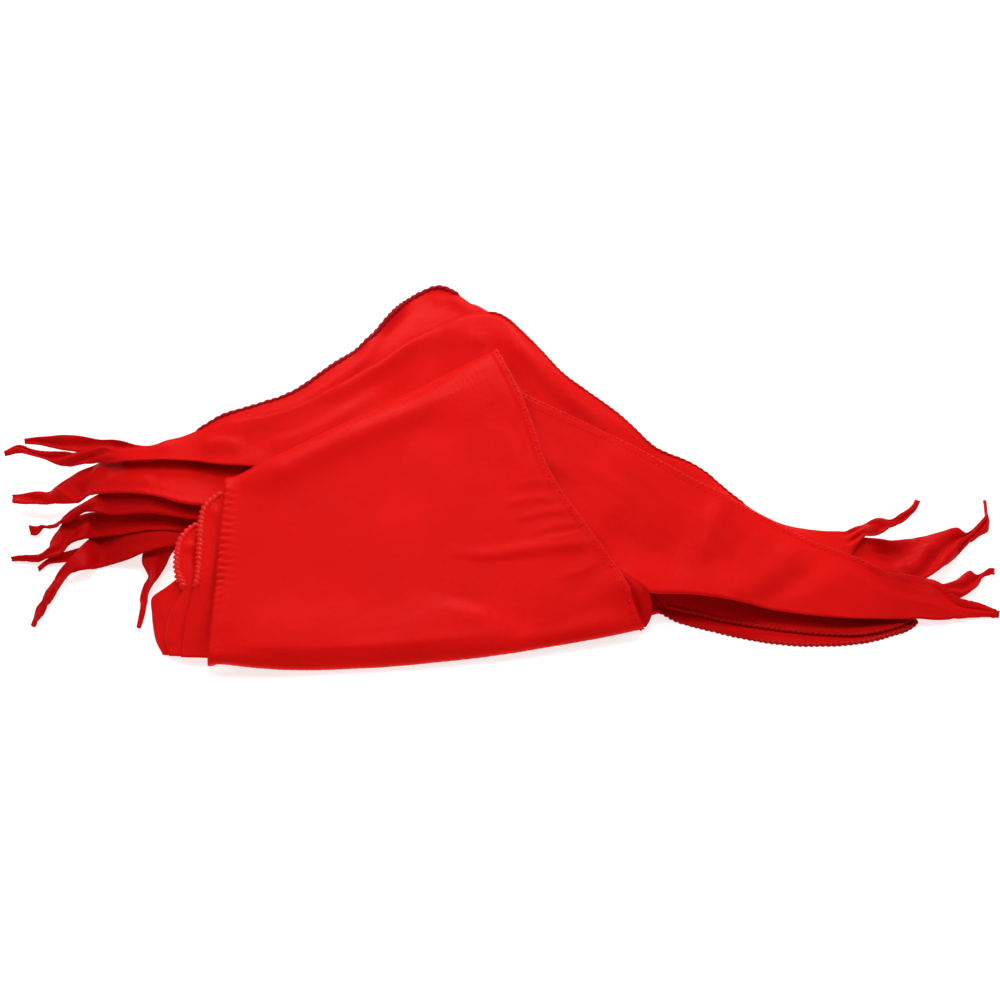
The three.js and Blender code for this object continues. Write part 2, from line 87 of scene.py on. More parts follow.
# Heap sections from left to right: the skyline point, its height, the front foot, the run
# of the back slope, the roundness of the front, the depth down to the core and how far the
# core stays behind the front foot
SECTION_COLUMNS = ["px", "py", "top", "foot", "back", "round", "under", "inset"]
SECTIONS = [
    (96, 452, 38, 70, 18, 1.6, 38, 60),
    (118, 446, 44, 58, 22, 1.6, 40, 66),
    (150, 446, 48, 45, 24, 1.6, 27, 76),
    (175, 440, 50, 22, 28, 1.5, 25, 96),
    (199, 430, 52, 6, 32, 1.35, 23, 34),
    (223, 418, 56, 3, 34, 1.3, 22, 20),
    (267, 403, 61, 2, 34, 1.3, 22, 20),
    (330, 370, 69, 0, 36, 1.25, 22, 20),
    (382, 331, 76, 2, 38, 1.25, 22, 20),
    (414, 300, 80, 3, 38, 1.25, 22, 20),
    (440, 292, 82, 4, 38, 1.25, 22, 20),
    (462, 300, 83, 6, 40, 1.25, 22, 20),
    (500, 316, 82, 8, 42, 1.25, 21, 20),
    (532, 345, 77, 10, 42, 1.3, 19, 20),
    (560, 375, 70, 14, 42, 1.3, 16, 20),
    (620, 419, 59, 24, 40, 1.4, 13, 20),
    (655, 450, 50, 34, 38, 1.6, 11, 20),
    (700, 471, 43, 36, 34, 1.8, 10, 20),
    (740, 502, 34, 30, 30, 1.8, 9, 20),
    (780, 524, 27, 25, 28, 1.9, 9, 20),
    (808, 531, 24, 22, 26, 2.0, 9, 20),
    (845, 534, 20, 24, 24, 2.0, 10, 20),
    (880, 550, 14, 32, 18, 1.9, 12, 20),
    (915, 572, 8, 42, 14, 1.6, 8, 20),
]

# Rows of each sheet: places of its back and front edges in the picture, and their heights,
# which are lifts off the heap in a body and heights above the table in a tail. A row without
# heights has the sheet's own lift
EDGE_COLUMNS = ["backX", "backY", "frontX", "frontY", "backUp", "frontUp"]
SHEETS = {
    "right_under_sheet_1": {"cells": 4, "lift": -8, "body": [
        (640, 590, 655, 608), (668, 588, 682, 622), (706, 592, 717, 631), (746, 598, 759, 640),
        (788, 604, 794, 644), (832, 608, 836, 644), (862, 610, 866, 641), (884, 612, 889, 635),
        (900, 614, 909, 628), (908, 615, 917, 620),
    ]},
    "right_under_sheet_2": {"cells": 4, "lift": -6, "body": [
        (645, 585, 665, 606), (690, 588, 700, 614), (716, 592, 724, 621), (758, 597, 766, 629),
        (815, 602, 822, 635), (856, 606, 860, 636), (880, 609, 886, 631), (900, 612, 906, 624),
        (908, 614, 914, 619),
    ]},
    "right_back_sheet_2": {"cells": 4, "lift": -7, "body": [
        (800, 550, 812, 585), (840, 555, 852, 592), (880, 565, 892, 597),
        (905, 573, 915, 598, -6, -6),
    ], "right": [
        (929, 581, 935, 598, 5, 4), (942, 586, 950, 598, 4, 3), (955, 580, 962, 597, 6, 3),
        (969, 573, 972, 592, 5, 3), (976, 575, 979, 583, 5, 3), (983, 572, 984, 576, 5, 4),
        (989, 569, 990, 575, 4, 3), (994, 569, 994, 574, 3, 2),
    ]},
    "right_back_sheet_1": {"cells": 4, "lift": -4, "body": [
        (788, 532, 796, 560, -5, -5), (820, 534, 830, 562), (850, 536, 862, 567),
        (880, 539, 892, 573, -3, -3),
    ], "right": [
        (905, 541, 917, 578, 13, 9), (920, 534, 935, 573, 12, 8), (940, 532, 949, 562, 12, 7),
        (955, 531, 960, 551, 11, 8), (966, 533, 971, 542, 10, 7), (975, 527, 979, 536, 10, 7),
        (983, 519, 988, 530, 10, 8), (984, 511, 987, 515, 10, 9), (983, 501, 986, 501, 11, 10),
    ]},
    "left_hanging_sheet": {"cells": 4, "lift": -23, "left": [
        (137, 627, 140, 627, 1.5, 1.5), (139, 617, 143, 618, 2.5, 2.5),
        (141, 607, 147, 606, 3.5, 3.5), (140, 600, 148, 597, 4, 4), (144, 584, 152, 588, 5, 5),
        (148, 574, 158, 577, 6, 6), (142, 561, 166, 563, 7, 7),
    ], "body": [
        (143, 552, 172, 553, -24, -24), (146, 538, 186, 538), (150, 524, 200, 524),
    ]},
    "left_sheet_6": {"cells": 4, "left": [
        (38, 568, 39, 571, 1.5, 1.5), (48, 560, 49, 564, 3, 2), (60, 556, 60, 563, 3, 2),
        (75, 551, 76, 562, 3, 2), (90, 545, 91, 559, 4, 2),
    ], "body": [
        (108, 533, 108, 558, -29, -29), (130, 527, 130, 551, -27, -27),
        (170, 520, 170, 546, -25, -25),
    ]},
    "left_sheet_5": {"cells": 5, "lift": -20, "left": [
        (31, 624, 35, 627, 1.5, 1.5), (35, 612, 41, 617, 2.5, 2), (43, 598, 50, 603, 4, 3),
        (52, 584, 60, 588, 5, 4), (60, 570, 72, 574, 7, 5), (74, 553, 86, 570, 11, 7),
    ], "body": [
        (100, 532, 101, 568, -24, -24), (125, 526, 125, 561, -22, -22), (160, 520, 158, 549),
        (200, 515, 195, 543),
    ]},
    "left_sheet_4": {"cells": 4, "left": [
        (11, 558, 12, 561, 1.6, 1.5), (25, 555, 25, 561, 2.5, 2), (40, 553, 40, 562, 4, 3),
        (50, 544, 49, 560, 8, 4), (60, 528, 60, 558, 9, 4), (72, 519, 68, 547, 12, 7),
        (84, 513, 81, 541, 15, 10),
    ], "body": [
        (100, 513, 97, 538, -19, -18), (122, 511, 120, 535, -20, -18.5),
        (165, 508, 165, 532, -20, -19), (200, 505, 200, 532, -20, -19),
    ]},
    "left_sheet_3": {"cells": 4, "left": [
        (29, 526, 31, 535, 2, 2), (36, 527, 37, 535, 3, 2.5), (43, 526, 43, 529, 4, 3),
        (50, 526, 50, 529, 6, 5), (57, 524, 57, 529, 8, 7), (64, 517, 66, 525, 14, 13),
        (71, 509, 73, 519, 19, 17), (84, 502, 86, 511, 25, 22),
    ], "body": [
        (110, 490, 110, 515, -12, -11.5), (150, 485, 150, 514, -12, -11.5),
        (197, 490, 197, 520, -12, -11.5), (236, 488, 236, 520, -12, -11.5),
    ]},
    "left_sheet_2": {"cells": 5, "left": [
        (12, 494, 13, 504, 10, 9), (25, 494, 25, 505, 11, 10), (40, 493, 40, 504, 13, 11),
        (50, 492, 51, 504, 15, 12), (60, 484, 64, 504, 19, 14), (75, 476, 78, 503, 24, 18),
        (87, 470, 88, 498, 28, 21),
    ], "body": [
        (103, 463, 102, 494, -8, -6), (130, 458, 130, 493, -8, -5), (160, 455, 160, 497, -8, -5),
        (180, 453, 180, 503, -8, -5), (205, 455, 202, 506, -8, -5), (250, 462, 246, 508, -8, -5),
    ]},
    "back_sheet_1": {"cells": 4, "lift": -2, "left": [
        (25, 440, 25, 444, 26, 25), (40, 438, 40, 445, 28, 26), (50, 437, 50, 447, 31, 28),
        (70, 436, 68, 451, 35, 31), (85, 437, 85, 453, 38, 34), (100, 439, 100, 455, 41, 37),
    ], "body": [
        (120, 441, 120, 457), (148, 446, 148, 456), (180, 438, 180, 450), (199, 430, 199, 448),
        (223, 416, 223, 441), (267, 403, 267, 433), (295, 392, 297, 428), (330, 368, 335, 410),
        (366, 345, 372, 390), (390, 316, 400, 370), (414, 297, 424, 355), (438, 287, 446, 345),
        (457, 294, 462, 342), (480, 312, 484, 345),
    ]},
    "back_sheet_2": {"cells": 5, "lift": 0, "left": [
        (4, 452, 5, 456, 23, 22), (18, 446, 18, 453, 25, 23), (37, 451, 38, 457, 27, 25),
        (50, 452, 46, 460, 30, 26), (65, 452, 60, 465, 33, 28), (82, 452, 78, 465, 36, 31),
        (102, 451, 102, 463, 40, 36),
    ], "body": [
        (120, 450, 122, 461), (160, 446, 162, 459), (200, 434, 200, 461), (219, 425, 220, 464),
        (245, 420, 255, 467), (286, 412, 300, 480), (330, 390, 345, 470), (369, 368, 390, 450),
        (429, 330, 440, 425), (456, 318, 470, 410), (481, 313, 500, 405), (500, 315, 530, 420),
        (532, 344, 560, 445), (560, 374, 590, 455), (620, 417, 635, 475), (655, 449, 675, 495),
        (700, 470, 712, 515), (740, 502, 750, 538), (780, 524, 790, 553), (808, 530, 822, 558),
        (835, 532, 845, 560),
    ], "right": [
        (851, 531, 858, 549, 18, 15), (866, 523, 868, 541, 17, 14), (878, 519, 880, 534, 16, 13),
        (889, 521, 891, 528, 14, 12), (900, 515, 904, 521, 13, 11), (909, 509, 913, 513, 12, 10),
        (915, 501, 919, 503, 11, 10),
    ]},
    "right_top_sheet": {"cells": 7, "lift": 3, "body": [
        (500, 384, 585, 597), (538, 402, 625, 598), (587, 425, 660, 597), (640, 452, 700, 598),
        (700, 485, 745, 605), (759, 515, 790, 612), (810, 540, 830, 616), (850, 555, 866, 618),
        (885, 572, 901, 619),
    ], "right": [
        (915, 577, 925, 619, 10, 5), (935, 583, 945, 619, 8, 4), (955, 599, 960, 618, 5, 3),
        (981, 606, 982, 616, 3, 2), (999, 613, 999, 617, 2, 1.6),
    ]},
    "pack_leaf_0": {"cells": 4, "lift": 2, "body": [
        (188, 570, 240, 572), (166, 587, 240, 588), (152, 598, 238, 603, 1.5, 2),
        (152, 612, 235, 618, 1.2, 1.5), (156, 640, 230, 642, 0.8, 0.8),
        (163, 655, 228, 656, 0.6, 0.6),
    ]},
    "pack_leaf_1": {"cells": 5, "lift": 4, "body": [
        (197, 523, 250, 520), (186, 530, 250, 530), (178, 541, 248, 541), (175, 557, 246, 557),
        (176, 575, 244, 577), (182, 589, 242, 590), (171, 612, 236, 612, 3.6, 3.6),
        (166, 640, 232, 640, 2.8, 2.8), (169, 656, 230, 657, 2.4, 2.4),
    ]},
    "pack_leaf_2": {"cells": 5, "body": [
        (221, 493, 262, 488, 7.2, 7), (211, 499, 260, 497, 7.4, 7), (203, 507, 258, 507, 7.6, 7),
        (199, 523, 256, 523, 7.6, 7), (198, 550, 252, 550, 7.6, 7), (195, 581, 250, 581, 7.4, 7),
        (190, 600, 246, 600, 6, 6.5), (184, 626, 242, 626, 5, 5), (181, 657, 238, 658, 4.2, 4.2),
    ]},
    "pack_right_leaf": {"cells": 4, "lift": 4.5, "body": [
        (590, 556, 612, 566), (596, 572, 629, 580), (602, 590, 641, 592, 4, 4),
        (606, 603, 648, 602, 3, 3), (610, 615, 652, 617, 1.5, 1.5), (612, 630, 646, 627, 0.8, 0.8),
    ]},
    "pack_core": {"cells": 5, "body": [
        (272, 475, 262, 648, 6.2, 5), (330, 447, 340, 650, 6.2, 5), (390, 418, 420, 645, 6.2, 5),
        (440, 394, 490, 638, 6.2, 5), (470, 380, 550, 626, 6.2, 5), (482, 378, 592, 614, 6.2, 5),
    ]},
    "front_panel": {"cells": 10, "roll": 5, "body": [
        (226, 483, 208, 661, 4, 6.5), (250, 471, 240, 663, 4, 6), (290, 451, 285, 666, 4, 3.5),
        (330, 432, 335, 667, 4, 1.5), (370, 412, 400, 664, 4, 1.5), (410, 392, 460, 658, 4, 1.5),
        (450, 373, 520, 650, 4, 1.5), (475, 360, 575, 641, 4, 1.5), (490, 353, 620, 633, 4, 3),
        (497, 350, 643, 628, 4, 4),
    ]},
}

# Creases of each sheet: points in the picture, how far they run out on their left hand and
# right hand, in pixels, and their height in millimetres, below 0 for a trough
CREASES = {
    "front_panel": [
        ([(242, 493), (288, 470), (358, 438), (428, 410), (486, 381)], 8, 13, 1.5),
        ([(238, 487), (283, 464), (353, 431), (423, 403), (480, 370)], 10, 32, 4.0),
        ([(600, 541), (570, 545), (540, 549), (490, 556), (436, 552)], 8, 10, 1.9),
        ([(520, 568), (470, 569), (425, 570)], 10, 12, -1.3),
        ([(558, 484), (540, 482), (505, 488)], 4, 5, 0.6),
        ([(562, 499), (530, 500), (502, 507)], 4, 6, 0.8),
        ([(574, 511), (545, 513), (510, 522)], 4, 6, 0.8),
        ([(581, 524), (556, 527), (530, 534)], 4, 5, 0.7),
        ([(588, 533), (566, 537), (540, 541)], 3, 4, 0.6),
        ([(190, 648), (260, 652), (340, 652), (430, 645), (520, 630)], 56, 15, 5.5),
        ([(430, 655), (540, 640), (640, 618)], 18, 12, 2.0),
        ([(440, 608), (480, 621), (520, 636)], 12, 16, 1.3),
        ([(415, 572), (450, 591), (490, 610)], 14, 16, -1.4),
        ([(508, 378), (494, 396), (474, 412), (436, 428)], 12, 22, 1.0),
        ([(548, 470), (510, 478), (470, 486), (420, 490)], 14, 24, 1.0),
        ([(600, 560), (585, 570), (550, 580)], 6, 9, 0.7),
        ([(612, 590), (592, 600), (560, 612)], 10, 12, 0.7),
        ([(330, 655), (390, 651), (450, 645)], 12, 14, 1.0),
    ],
    "back_sheet_1": [
        ([(190, 441), (240, 421), (300, 402), (350, 372), (392, 336)], 8, 14, 1.6),
        ([(300, 412), (340, 390), (375, 362)], 7, 9, -1.2),
        ([(430, 300), (455, 303), (478, 318)], 7, 10, 1.6),
    ],
    "back_sheet_2": [
        ([(210, 430), (258, 421), (307, 401), (360, 378), (413, 342), (484, 318)], 5, 12, 3.2),
        ([(200, 447), (222, 444), (246, 447)], 8, 10, 2.0),
        ([(262, 446), (300, 436), (345, 414), (385, 384)], 8, 12, 1.6),
        ([(300, 460), (340, 441), (372, 421)], 8, 10, 1.2),
        ([(380, 406), (430, 382), (480, 358), (520, 345)], 38, 20, -4.5),
        ([(330, 398), (356, 380), (382, 362)], 8, 12, 1.0),
        ([(500, 330), (530, 357), (562, 390), (600, 420), (640, 444)], 10, 12, 3.2),
        ([(500, 352), (522, 388), (556, 412), (600, 434)], 20, 12, -2.8),
        ([(700, 480), (740, 508), (782, 530), (828, 540)], 8, 10, 1.5),
        ([(636, 444), (680, 472), (716, 492)], 6, 8, -1.8),
    ],
    "right_top_sheet": [
        ([(732, 498), (715, 523), (698, 568)], 12, 18, 2.2),
        ([(756, 520), (744, 538), (724, 572)], 12, 12, -0.7),
        ([(808, 541), (788, 560), (764, 580), (732, 600)], 14, 18, 1.8),
        ([(832, 552), (808, 572), (776, 592), (746, 610)], 12, 12, -0.9),
        ([(862, 562), (834, 582), (796, 604)], 14, 16, 0.9),
        ([(610, 440), (640, 492), (652, 552)], 24, 28, 1.2),
        ([(590, 590), (650, 602), (710, 606), (770, 612)], 44, 14, 6.0),
        ([(600, 520), (650, 545), (700, 556)], 34, 34, -2.6),
        ([(862, 566), (890, 566), (915, 572)], 6, 7, 1.0),
    ],
    "left_sheet_2": [
        ([(78, 489), (92, 478), (106, 466)], 6, 6, 2.4),
        ([(104, 482), (130, 478), (158, 480)], 9, 9, 2.0),
        ([(120, 464), (160, 461), (200, 464)], 6, 7, 1.4),
        ([(52, 489), (64, 495), (78, 503)], 4, 4, 1.8),
    ],
    "left_sheet_3": [
        ([(100, 500), (140, 497), (196, 499)], 4, 5, 1.2),
        ([(104, 508), (150, 507), (200, 510)], 3, 4, 0.9),
    ],
    "left_sheet_4": [
        ([(88, 521), (120, 515), (152, 514), (198, 520)], 5, 6, 1.8),
        ([(60, 532), (60, 545), (52, 556)], 4, 4, 1.6),
    ],
    "left_sheet_5": [
        ([(112, 540), (150, 534), (190, 538)], 6, 8, 1.6),
        ([(60, 578), (52, 590), (46, 604)], 4, 4, 1.6),
        ([(96, 556), (120, 552), (150, 552)], 4, 5, 1.3),
    ],
    "left_hanging_sheet": [
        ([(150, 549), (164, 545), (182, 541)], 4, 5, 1.8),
        ([(152, 560), (153, 580), (146, 600), (142, 618)], 4, 4, 1.6),
    ],
    "right_back_sheet_1": [
        ([(800, 540), (840, 543), (890, 552)], 6, 8, 1.8),
        ([(905, 552), (930, 550), (955, 542)], 5, 5, 1.6),
    ],
    "right_back_sheet_2": [
        ([(830, 566), (870, 572), (910, 582)], 6, 8, 1.6),
        ([(925, 590), (950, 591), (972, 582)], 4, 4, 1.4),
    ],
    "pack_leaf_2": [
        ([(223, 500), (219, 560), (213, 610), (206, 662)], 5, 5, -3.0),
        ([(208, 506), (222, 520), (222, 560)], 5, 7, 1.2),
    ],
    "pack_leaf_1": [
        ([(198, 530), (196, 560), (194, 590), (190, 640)], 4, 4, -2.4),
        ([(180, 548), (192, 546), (206, 552)], 5, 7, 1.2),
        ([(176, 600), (172, 625), (170, 650)], 4, 5, 1.4),
    ],
    "pack_leaf_0": [
        ([(160, 600), (166, 622), (166, 646)], 4, 5, 1.3),
    ],
    "pack_right_leaf": [
        ([(616, 570), (634, 596), (644, 618)], 3, 4, 2.4),
        ([(622, 572), (640, 592), (650, 606)], 3, 4, 2.2),
        ([(612, 576), (628, 600), (637, 622)], 3, 4, 1.8),
    ],
}

# Folds down the hidden back, in millimetres: where, lean, width and height
BACK_FOLDS = [
    (-196, 0.10, 6, 5.4),
    (-168, -0.12, 8, -4.7),
    (-139, 0.16, 7, 6.5),
    (-104, -0.08, 10, -5.4),
    (-76, 0.20, 8, 7.6),
    (-38, 0.05, 10, -6.1),
    (-9, -0.18, 8, 3.6),
    (27, 0.12, 10, -5.4),
    (58, -0.10, 7, 7.2),
    (91, 0.14, 9, -5.8),
    (120, -0.16, 7, 6.1),
    (149, 0.08, 8, -4.7),
]

# How each sheet looks: its cloth, the spacing of its points, the height of its soft
# unevenness, folds and crumple of its tails, the sides with a turned hem, and what it lies
# on besides the hidden layers
LOOK_COLUMNS = ["cloth", "spacing", "uneven", "tail_folds", "crumple", "hems", "lies_on"]
# The "lower" cloth is the darker one, with painted shade
LOOKS = {
    "right_under_sheet_1": ("lower", 1.8, 0.5, 0, 0, [], []),
    "right_under_sheet_2": ("lower", 1.8, 0.5, 0, 0, [], ["right_under_sheet_1"]),
    "right_back_sheet_2": ("upper", 1.6, 0.9, 1.5, 1.8, [], []),
    "right_back_sheet_1": ("upper", 1.6, 0.9, 1.5, 2.0, [], ["right_back_sheet_2"]),
    "left_hanging_sheet": ("lower", 1.3, 0.6, 1.0, 1.2, [], []),
    "left_sheet_6": ("lower", 1.5, 0.6, 1.0, 1.0, [], []),
    "left_sheet_5": ("lower", 1.4, 0.8, 0.8, 1.0, ["front"], ["left_sheet_6"]),
    "left_sheet_4": ("lower", 1.5, 0.8, 1.2, 1.5, ["front"], ["left_sheet_5"]),
    "left_sheet_3": ("lower", 1.5, 0.6, 1.0, 1.0, ["front"], ["left_sheet_4"]),
    "left_sheet_2": ("upper", 1.6, 0.9, 0.8, 1.0, ["front"], ["left_sheet_3"]),
    "back_drop_sheet": ("upper", 3.0, 1.0, 0, 0, ["back"], []),
    "back_sheet_1": ("upper", 1.9, 0.9, 1.0, 1.2, [], ["back_drop_sheet"]),
    "back_sheet_2": ("upper", 1.9, 1.0, 1.3, 1.4, [], ["back_sheet_1", "left_sheet_2"]),
    "right_top_sheet":
        ("upper", 1.9, 1.0, 1.0, 0.8, ["back"], ["back_sheet_2", "right_back_sheet_1"]),
    "pack_leaf_0": ("upper", 1.5, 0.5, 0, 0, [], []),
    "pack_leaf_1": ("upper", 1.3, 0.5, 0, 0, [], ["pack_leaf_0"]),
    "pack_leaf_2": ("upper", 1.3, 0.5, 0, 0, [], ["pack_leaf_1"]),
    "pack_right_leaf": ("lower", 1.3, 0.5, 0, 0, [], ["right_under_sheet_2"]),
    "pack_core": ("upper", 3.0, 0.0, 0, 0, [], ["pack_leaf_2", "back_sheet_2"]),
    "front_panel": ("upper", 1.5, 0.6, 0, 0, ["first", "last"], ["pack_core", "pack_leaf_2"]),
}

# Rows of stitches: the sheet and its side, how far apart and how large they are, and how far
# inside the edge they lie
STITCH_COLUMNS = ["sheet", "edge", "pitch", "length", "width", "height", "inside"]
STITCH_ROWS = [
    ("front_panel", "last", 6.4, 1.6, 1.1, 0.7, 0.8),
    ("front_panel", "last", 3.0, 2.0, 0.5, 0.2, 3.2),
    ("right_top_sheet", "back", 3.0, 2.1, 0.6, 0.35, 3.4),
    ("back_drop_sheet", "back", 3.0, 2.1, 0.6, 0.35, 4.4),
]

# Rope hems: the sheet and its edge, where in the picture they start and stop, how far they
# reach across and up and from lobe to lobe, in millimetres, and their thread
ROPE_COLUMNS = [
    "sheet", "edge", "firstX", "lastX", "firstY", "lastY", "across", "up", "pitch", "thread"
]
# The deep and dark threads carry painted shade, for hems in shadow, and the plain thread a painted
# highlight
ROPES = [
    ("back_sheet_1", "back", 196, 460, 270, 445, 1.8, 1.6, 4.6, "dark"),
    ("back_sheet_2", "back", 486, 748, 300, 520, 1.3, 1.1, 4.0, "deep"),
    ("right_under_sheet_1", "front", 654, 918, 580, 660, 1.9, 1.2, 3.2, "deep"),
    ("right_under_sheet_2", "front", 664, 915, 580, 660, 1.6, 1.1, 3.2, "deep"),
    ("pack_leaf_1", "back", 165, 200, 520, 592, 2.5, 1.5, 3.2, "plain"),
    ("pack_leaf_2", "back", 180, 224, 490, 590, 2.5, 1.5, 3.2, "plain"),
    ("front_panel", "last", 490, 650, 350, 600, 0.6, 0.55, 3.0, "plain"),
    ("right_top_sheet", "back", 500, 930, 380, 600, 0.7, 0.65, 3.0, "plain"),
]

# How far the right hem of the panel bows off a straight line, in pixels
PANEL_HEM_BOW = [(350, 0), (397, 0), (430, -5), (470, -12), (495, -9), (530, -2), (562, 4),
                 (580, 5), (600, 3), (628, 1)]

# Sight lines
tilt = math.radians(VIEW_ELEVATION)
LOOK_ALONG = np.array([0, math.cos(tilt), -math.sin(tilt)])
LOOK_UP = np.array([0, math.sin(tilt), math.cos(tilt)])
EYE = VIEW_TARGET - VIEW_DISTANCE * LOOK_ALONG


def sight_lines(px, py):
    side = (px - PICTURE_HALF) / PICTURE_HALF * VIEW_HALF_WIDTH
    rise = (PICTURE_HALF - py) / PICTURE_HALF * VIEW_HALF_WIDTH
    lines = LOOK_ALONG + rise[..., None] * LOOK_UP
    lines[..., 0] += side
    return lines


# Points at known heights behind places in the picture
def at_height(px, py, height):
    lines = sight_lines(px, py)
    return EYE + lines * ((height - EYE[2]) / lines[..., 2])[..., None]


def smooth_step(share):
    share = np.clip(share, 0, 1)
    return share * share * (3 - 2 * share)


def mix(start, end, share):
    return start + (end - start) * share


def lengths(vectors):
    return np.linalg.norm(vectors, axis=-1)


def unit(vectors):
    return vectors / lengths(vectors)[..., None]


# Smooth values between known ones, with the slopes of their neighbours
def smooth_values(places, values, wanted):
    last = len(places) - 1
    left = np.clip(np.searchsorted(places, wanted, side="right") - 1, 0, last - 1)
    right = left + 1
    before = np.maximum(left - 1, 0)
    after = np.minimum(right + 1, last)
    start_slope = (values[right] - values[before]) / (places[right] - places[before])
    end_slope = (values[after] - values[left]) / (places[after] - places[left])
    span = places[right] - places[left]
    t = np.clip((wanted - places[left]) / span, 0, 1)
    t2 = t * t
    t3 = t2 * t
    return (
        (2 * t3 - 3 * t2 + 1) * values[left]
        + (t3 - 2 * t2 + t) * span * start_slope
        + (3 * t2 - 2 * t3) * values[right]
        + (t3 - t2) * span * end_slope
    )


# Values of the heap's sections at many places from left to right
def section_lines():
    count = 1200
    table = np.array(SECTIONS, dtype=float)
    known = dict(zip(SECTION_COLUMNS, table.T))
    ridge = at_height(known["px"], known["py"], known["top"])
    known["ridge"] = ridge[:, 1]
    places = np.linspace(ridge[0, 0], ridge[-1, 0], count)
    columns = ["ridge", "top", "foot", "back", "round", "under", "inset"]
    return places, {c: smooth_values(ridge[:, 0], known[c], places) for c in columns}


section_places, section_values = section_lines()


def section_at(x):
    found = {c: np.interp(x, section_places, values) for c, values in section_values.items()}
    found["front"] = FRONT_LINE + found["foot"]
    found["back"] = found["ridge"] + found["back"]
    return found


# Height of the heap's upper cloth over places of the table
def heap_top(x, y):
    s = section_at(x)
    before = np.clip((s["ridge"] - y) / (s["ridge"] - s["front"]), 0, 1)
    behind = np.clip((y - s["ridge"]) / (s["back"] - s["ridge"]), 0, 1)
    return s["top"] * np.where(y < s["ridge"], 1 - before ** s["round"], 1 - behind**2)


# Points of the heap, raised by a lift, that lie behind places in the picture
def on_heap(px, py, lift):
    lines = sight_lines(px, py)
    step = 0.5
    best_gap = np.full(px.shape, np.inf)
    last_gap = best_gap.copy()
    height = np.full(px.shape, float(HEAP_TOP))
    active = np.ones(px.shape, dtype=bool)
    for z in np.arange(HEAP_TOP, LAYER_HALF - step, -step):
        z = max(z, LAYER_HALF)
        points = EYE + lines * ((z - EYE[2]) / lines[..., 2])[..., None]
        x, y = points[..., 0], points[..., 1]
        active &= ~(np.isfinite(best_gap) & (y > section_at(x)["ridge"] + SKYLINE_RUN))
        gap = z - np.maximum(heap_top(x, y) + lift, LAYER_HALF)
        better = active & (gap < best_gap)
        crossed = better & (gap <= 0) & np.isfinite(last_gap)
        part = np.where(crossed, gap / np.where(crossed, gap - last_gap, 1), 0)
        height = np.where(better, z + part * step, height)
        best_gap = np.where(better, gap, best_gap)
        last_gap = gap
        active &= best_gap > 0
    return at_height(px, py, height)


# Centripetal smooth curves through rows of points. The first three columns are the place in
# space, and the others, such as the place in the picture, are carried along
def smooth_rows(rows, counts):
    least_jump = 1e-3
    first = 2 * rows[0] - rows[1]
    last = 2 * rows[-1] - rows[-2]
    padded = np.concatenate([first[None], rows, last[None]])
    jumps = lengths(np.diff(padded[..., :3], axis=0))
    jumps = np.maximum(np.sqrt(jumps), least_jump)[..., None]
    pieces = []
    for k in range(len(rows) - 1):
        p0, p1, p2, p3 = padded[k : k + 4]
        d0, d1, d2 = jumps[k : k + 3]
        start = (p1 - p0) / d0 - (p2 - p0) / (d0 + d1) + (p2 - p1) / d1
        end = (p2 - p1) / d1 - (p3 - p1) / (d1 + d2) + (p3 - p2) / d2
        start, end = start * d1, end * d1
        t = (np.arange(counts[k]) / counts[k])[:, None, None]
        piece = p1 + start * t
        piece = piece + (-3 * p1 + 3 * p2 - 2 * start - end) * t**2
        piece = piece + (2 * p1 - 2 * p2 + start + end) * t**3
        pieces.append(piece)
    pieces.append(rows[-1][None])
    return np.concatenate(pieces)


# Counts of points for each stretch, so that they lie about one spacing apart
def stretch_counts(rows, spacing):
    stretches = lengths(np.diff(rows[..., :3], axis=0))
    return np.maximum(np.ceil(stretches.mean(axis=1) / spacing), 1).astype(int)


# Soft unevenness, from -1 to 1, with hills about one run apart
def soft_noise(u, v, run_u, run_v, seed):
    size, inside = 64, 8
    lattice = np.random.default_rng(seed).uniform(-1, 1, (size, size))
    a, b = u / run_u + inside, v / run_v + inside
    i, j = np.floor(a).astype(int), np.floor(b).astype(int)
    s, t = smooth_step(a - i), smooth_step(b - j)
    corner = lambda di, dj: lattice[(i + di) % size, (j + dj) % size]
    low = mix(corner(0, 0), corner(1, 0), s)
    high = mix(corner(0, 1), corner(1, 1), s)
    return mix(low, high, t)


# Creases, with the points on a stretch, their reach in runs, and how softly one hand passes
# into the other
CREASE_POINTS, CREASE_REACH, CREASE_SHARPNESS, HANDS_APART = 12, 2.5, 1.6, 4
END_FADE, END_LEFT = 0.3, 0.15


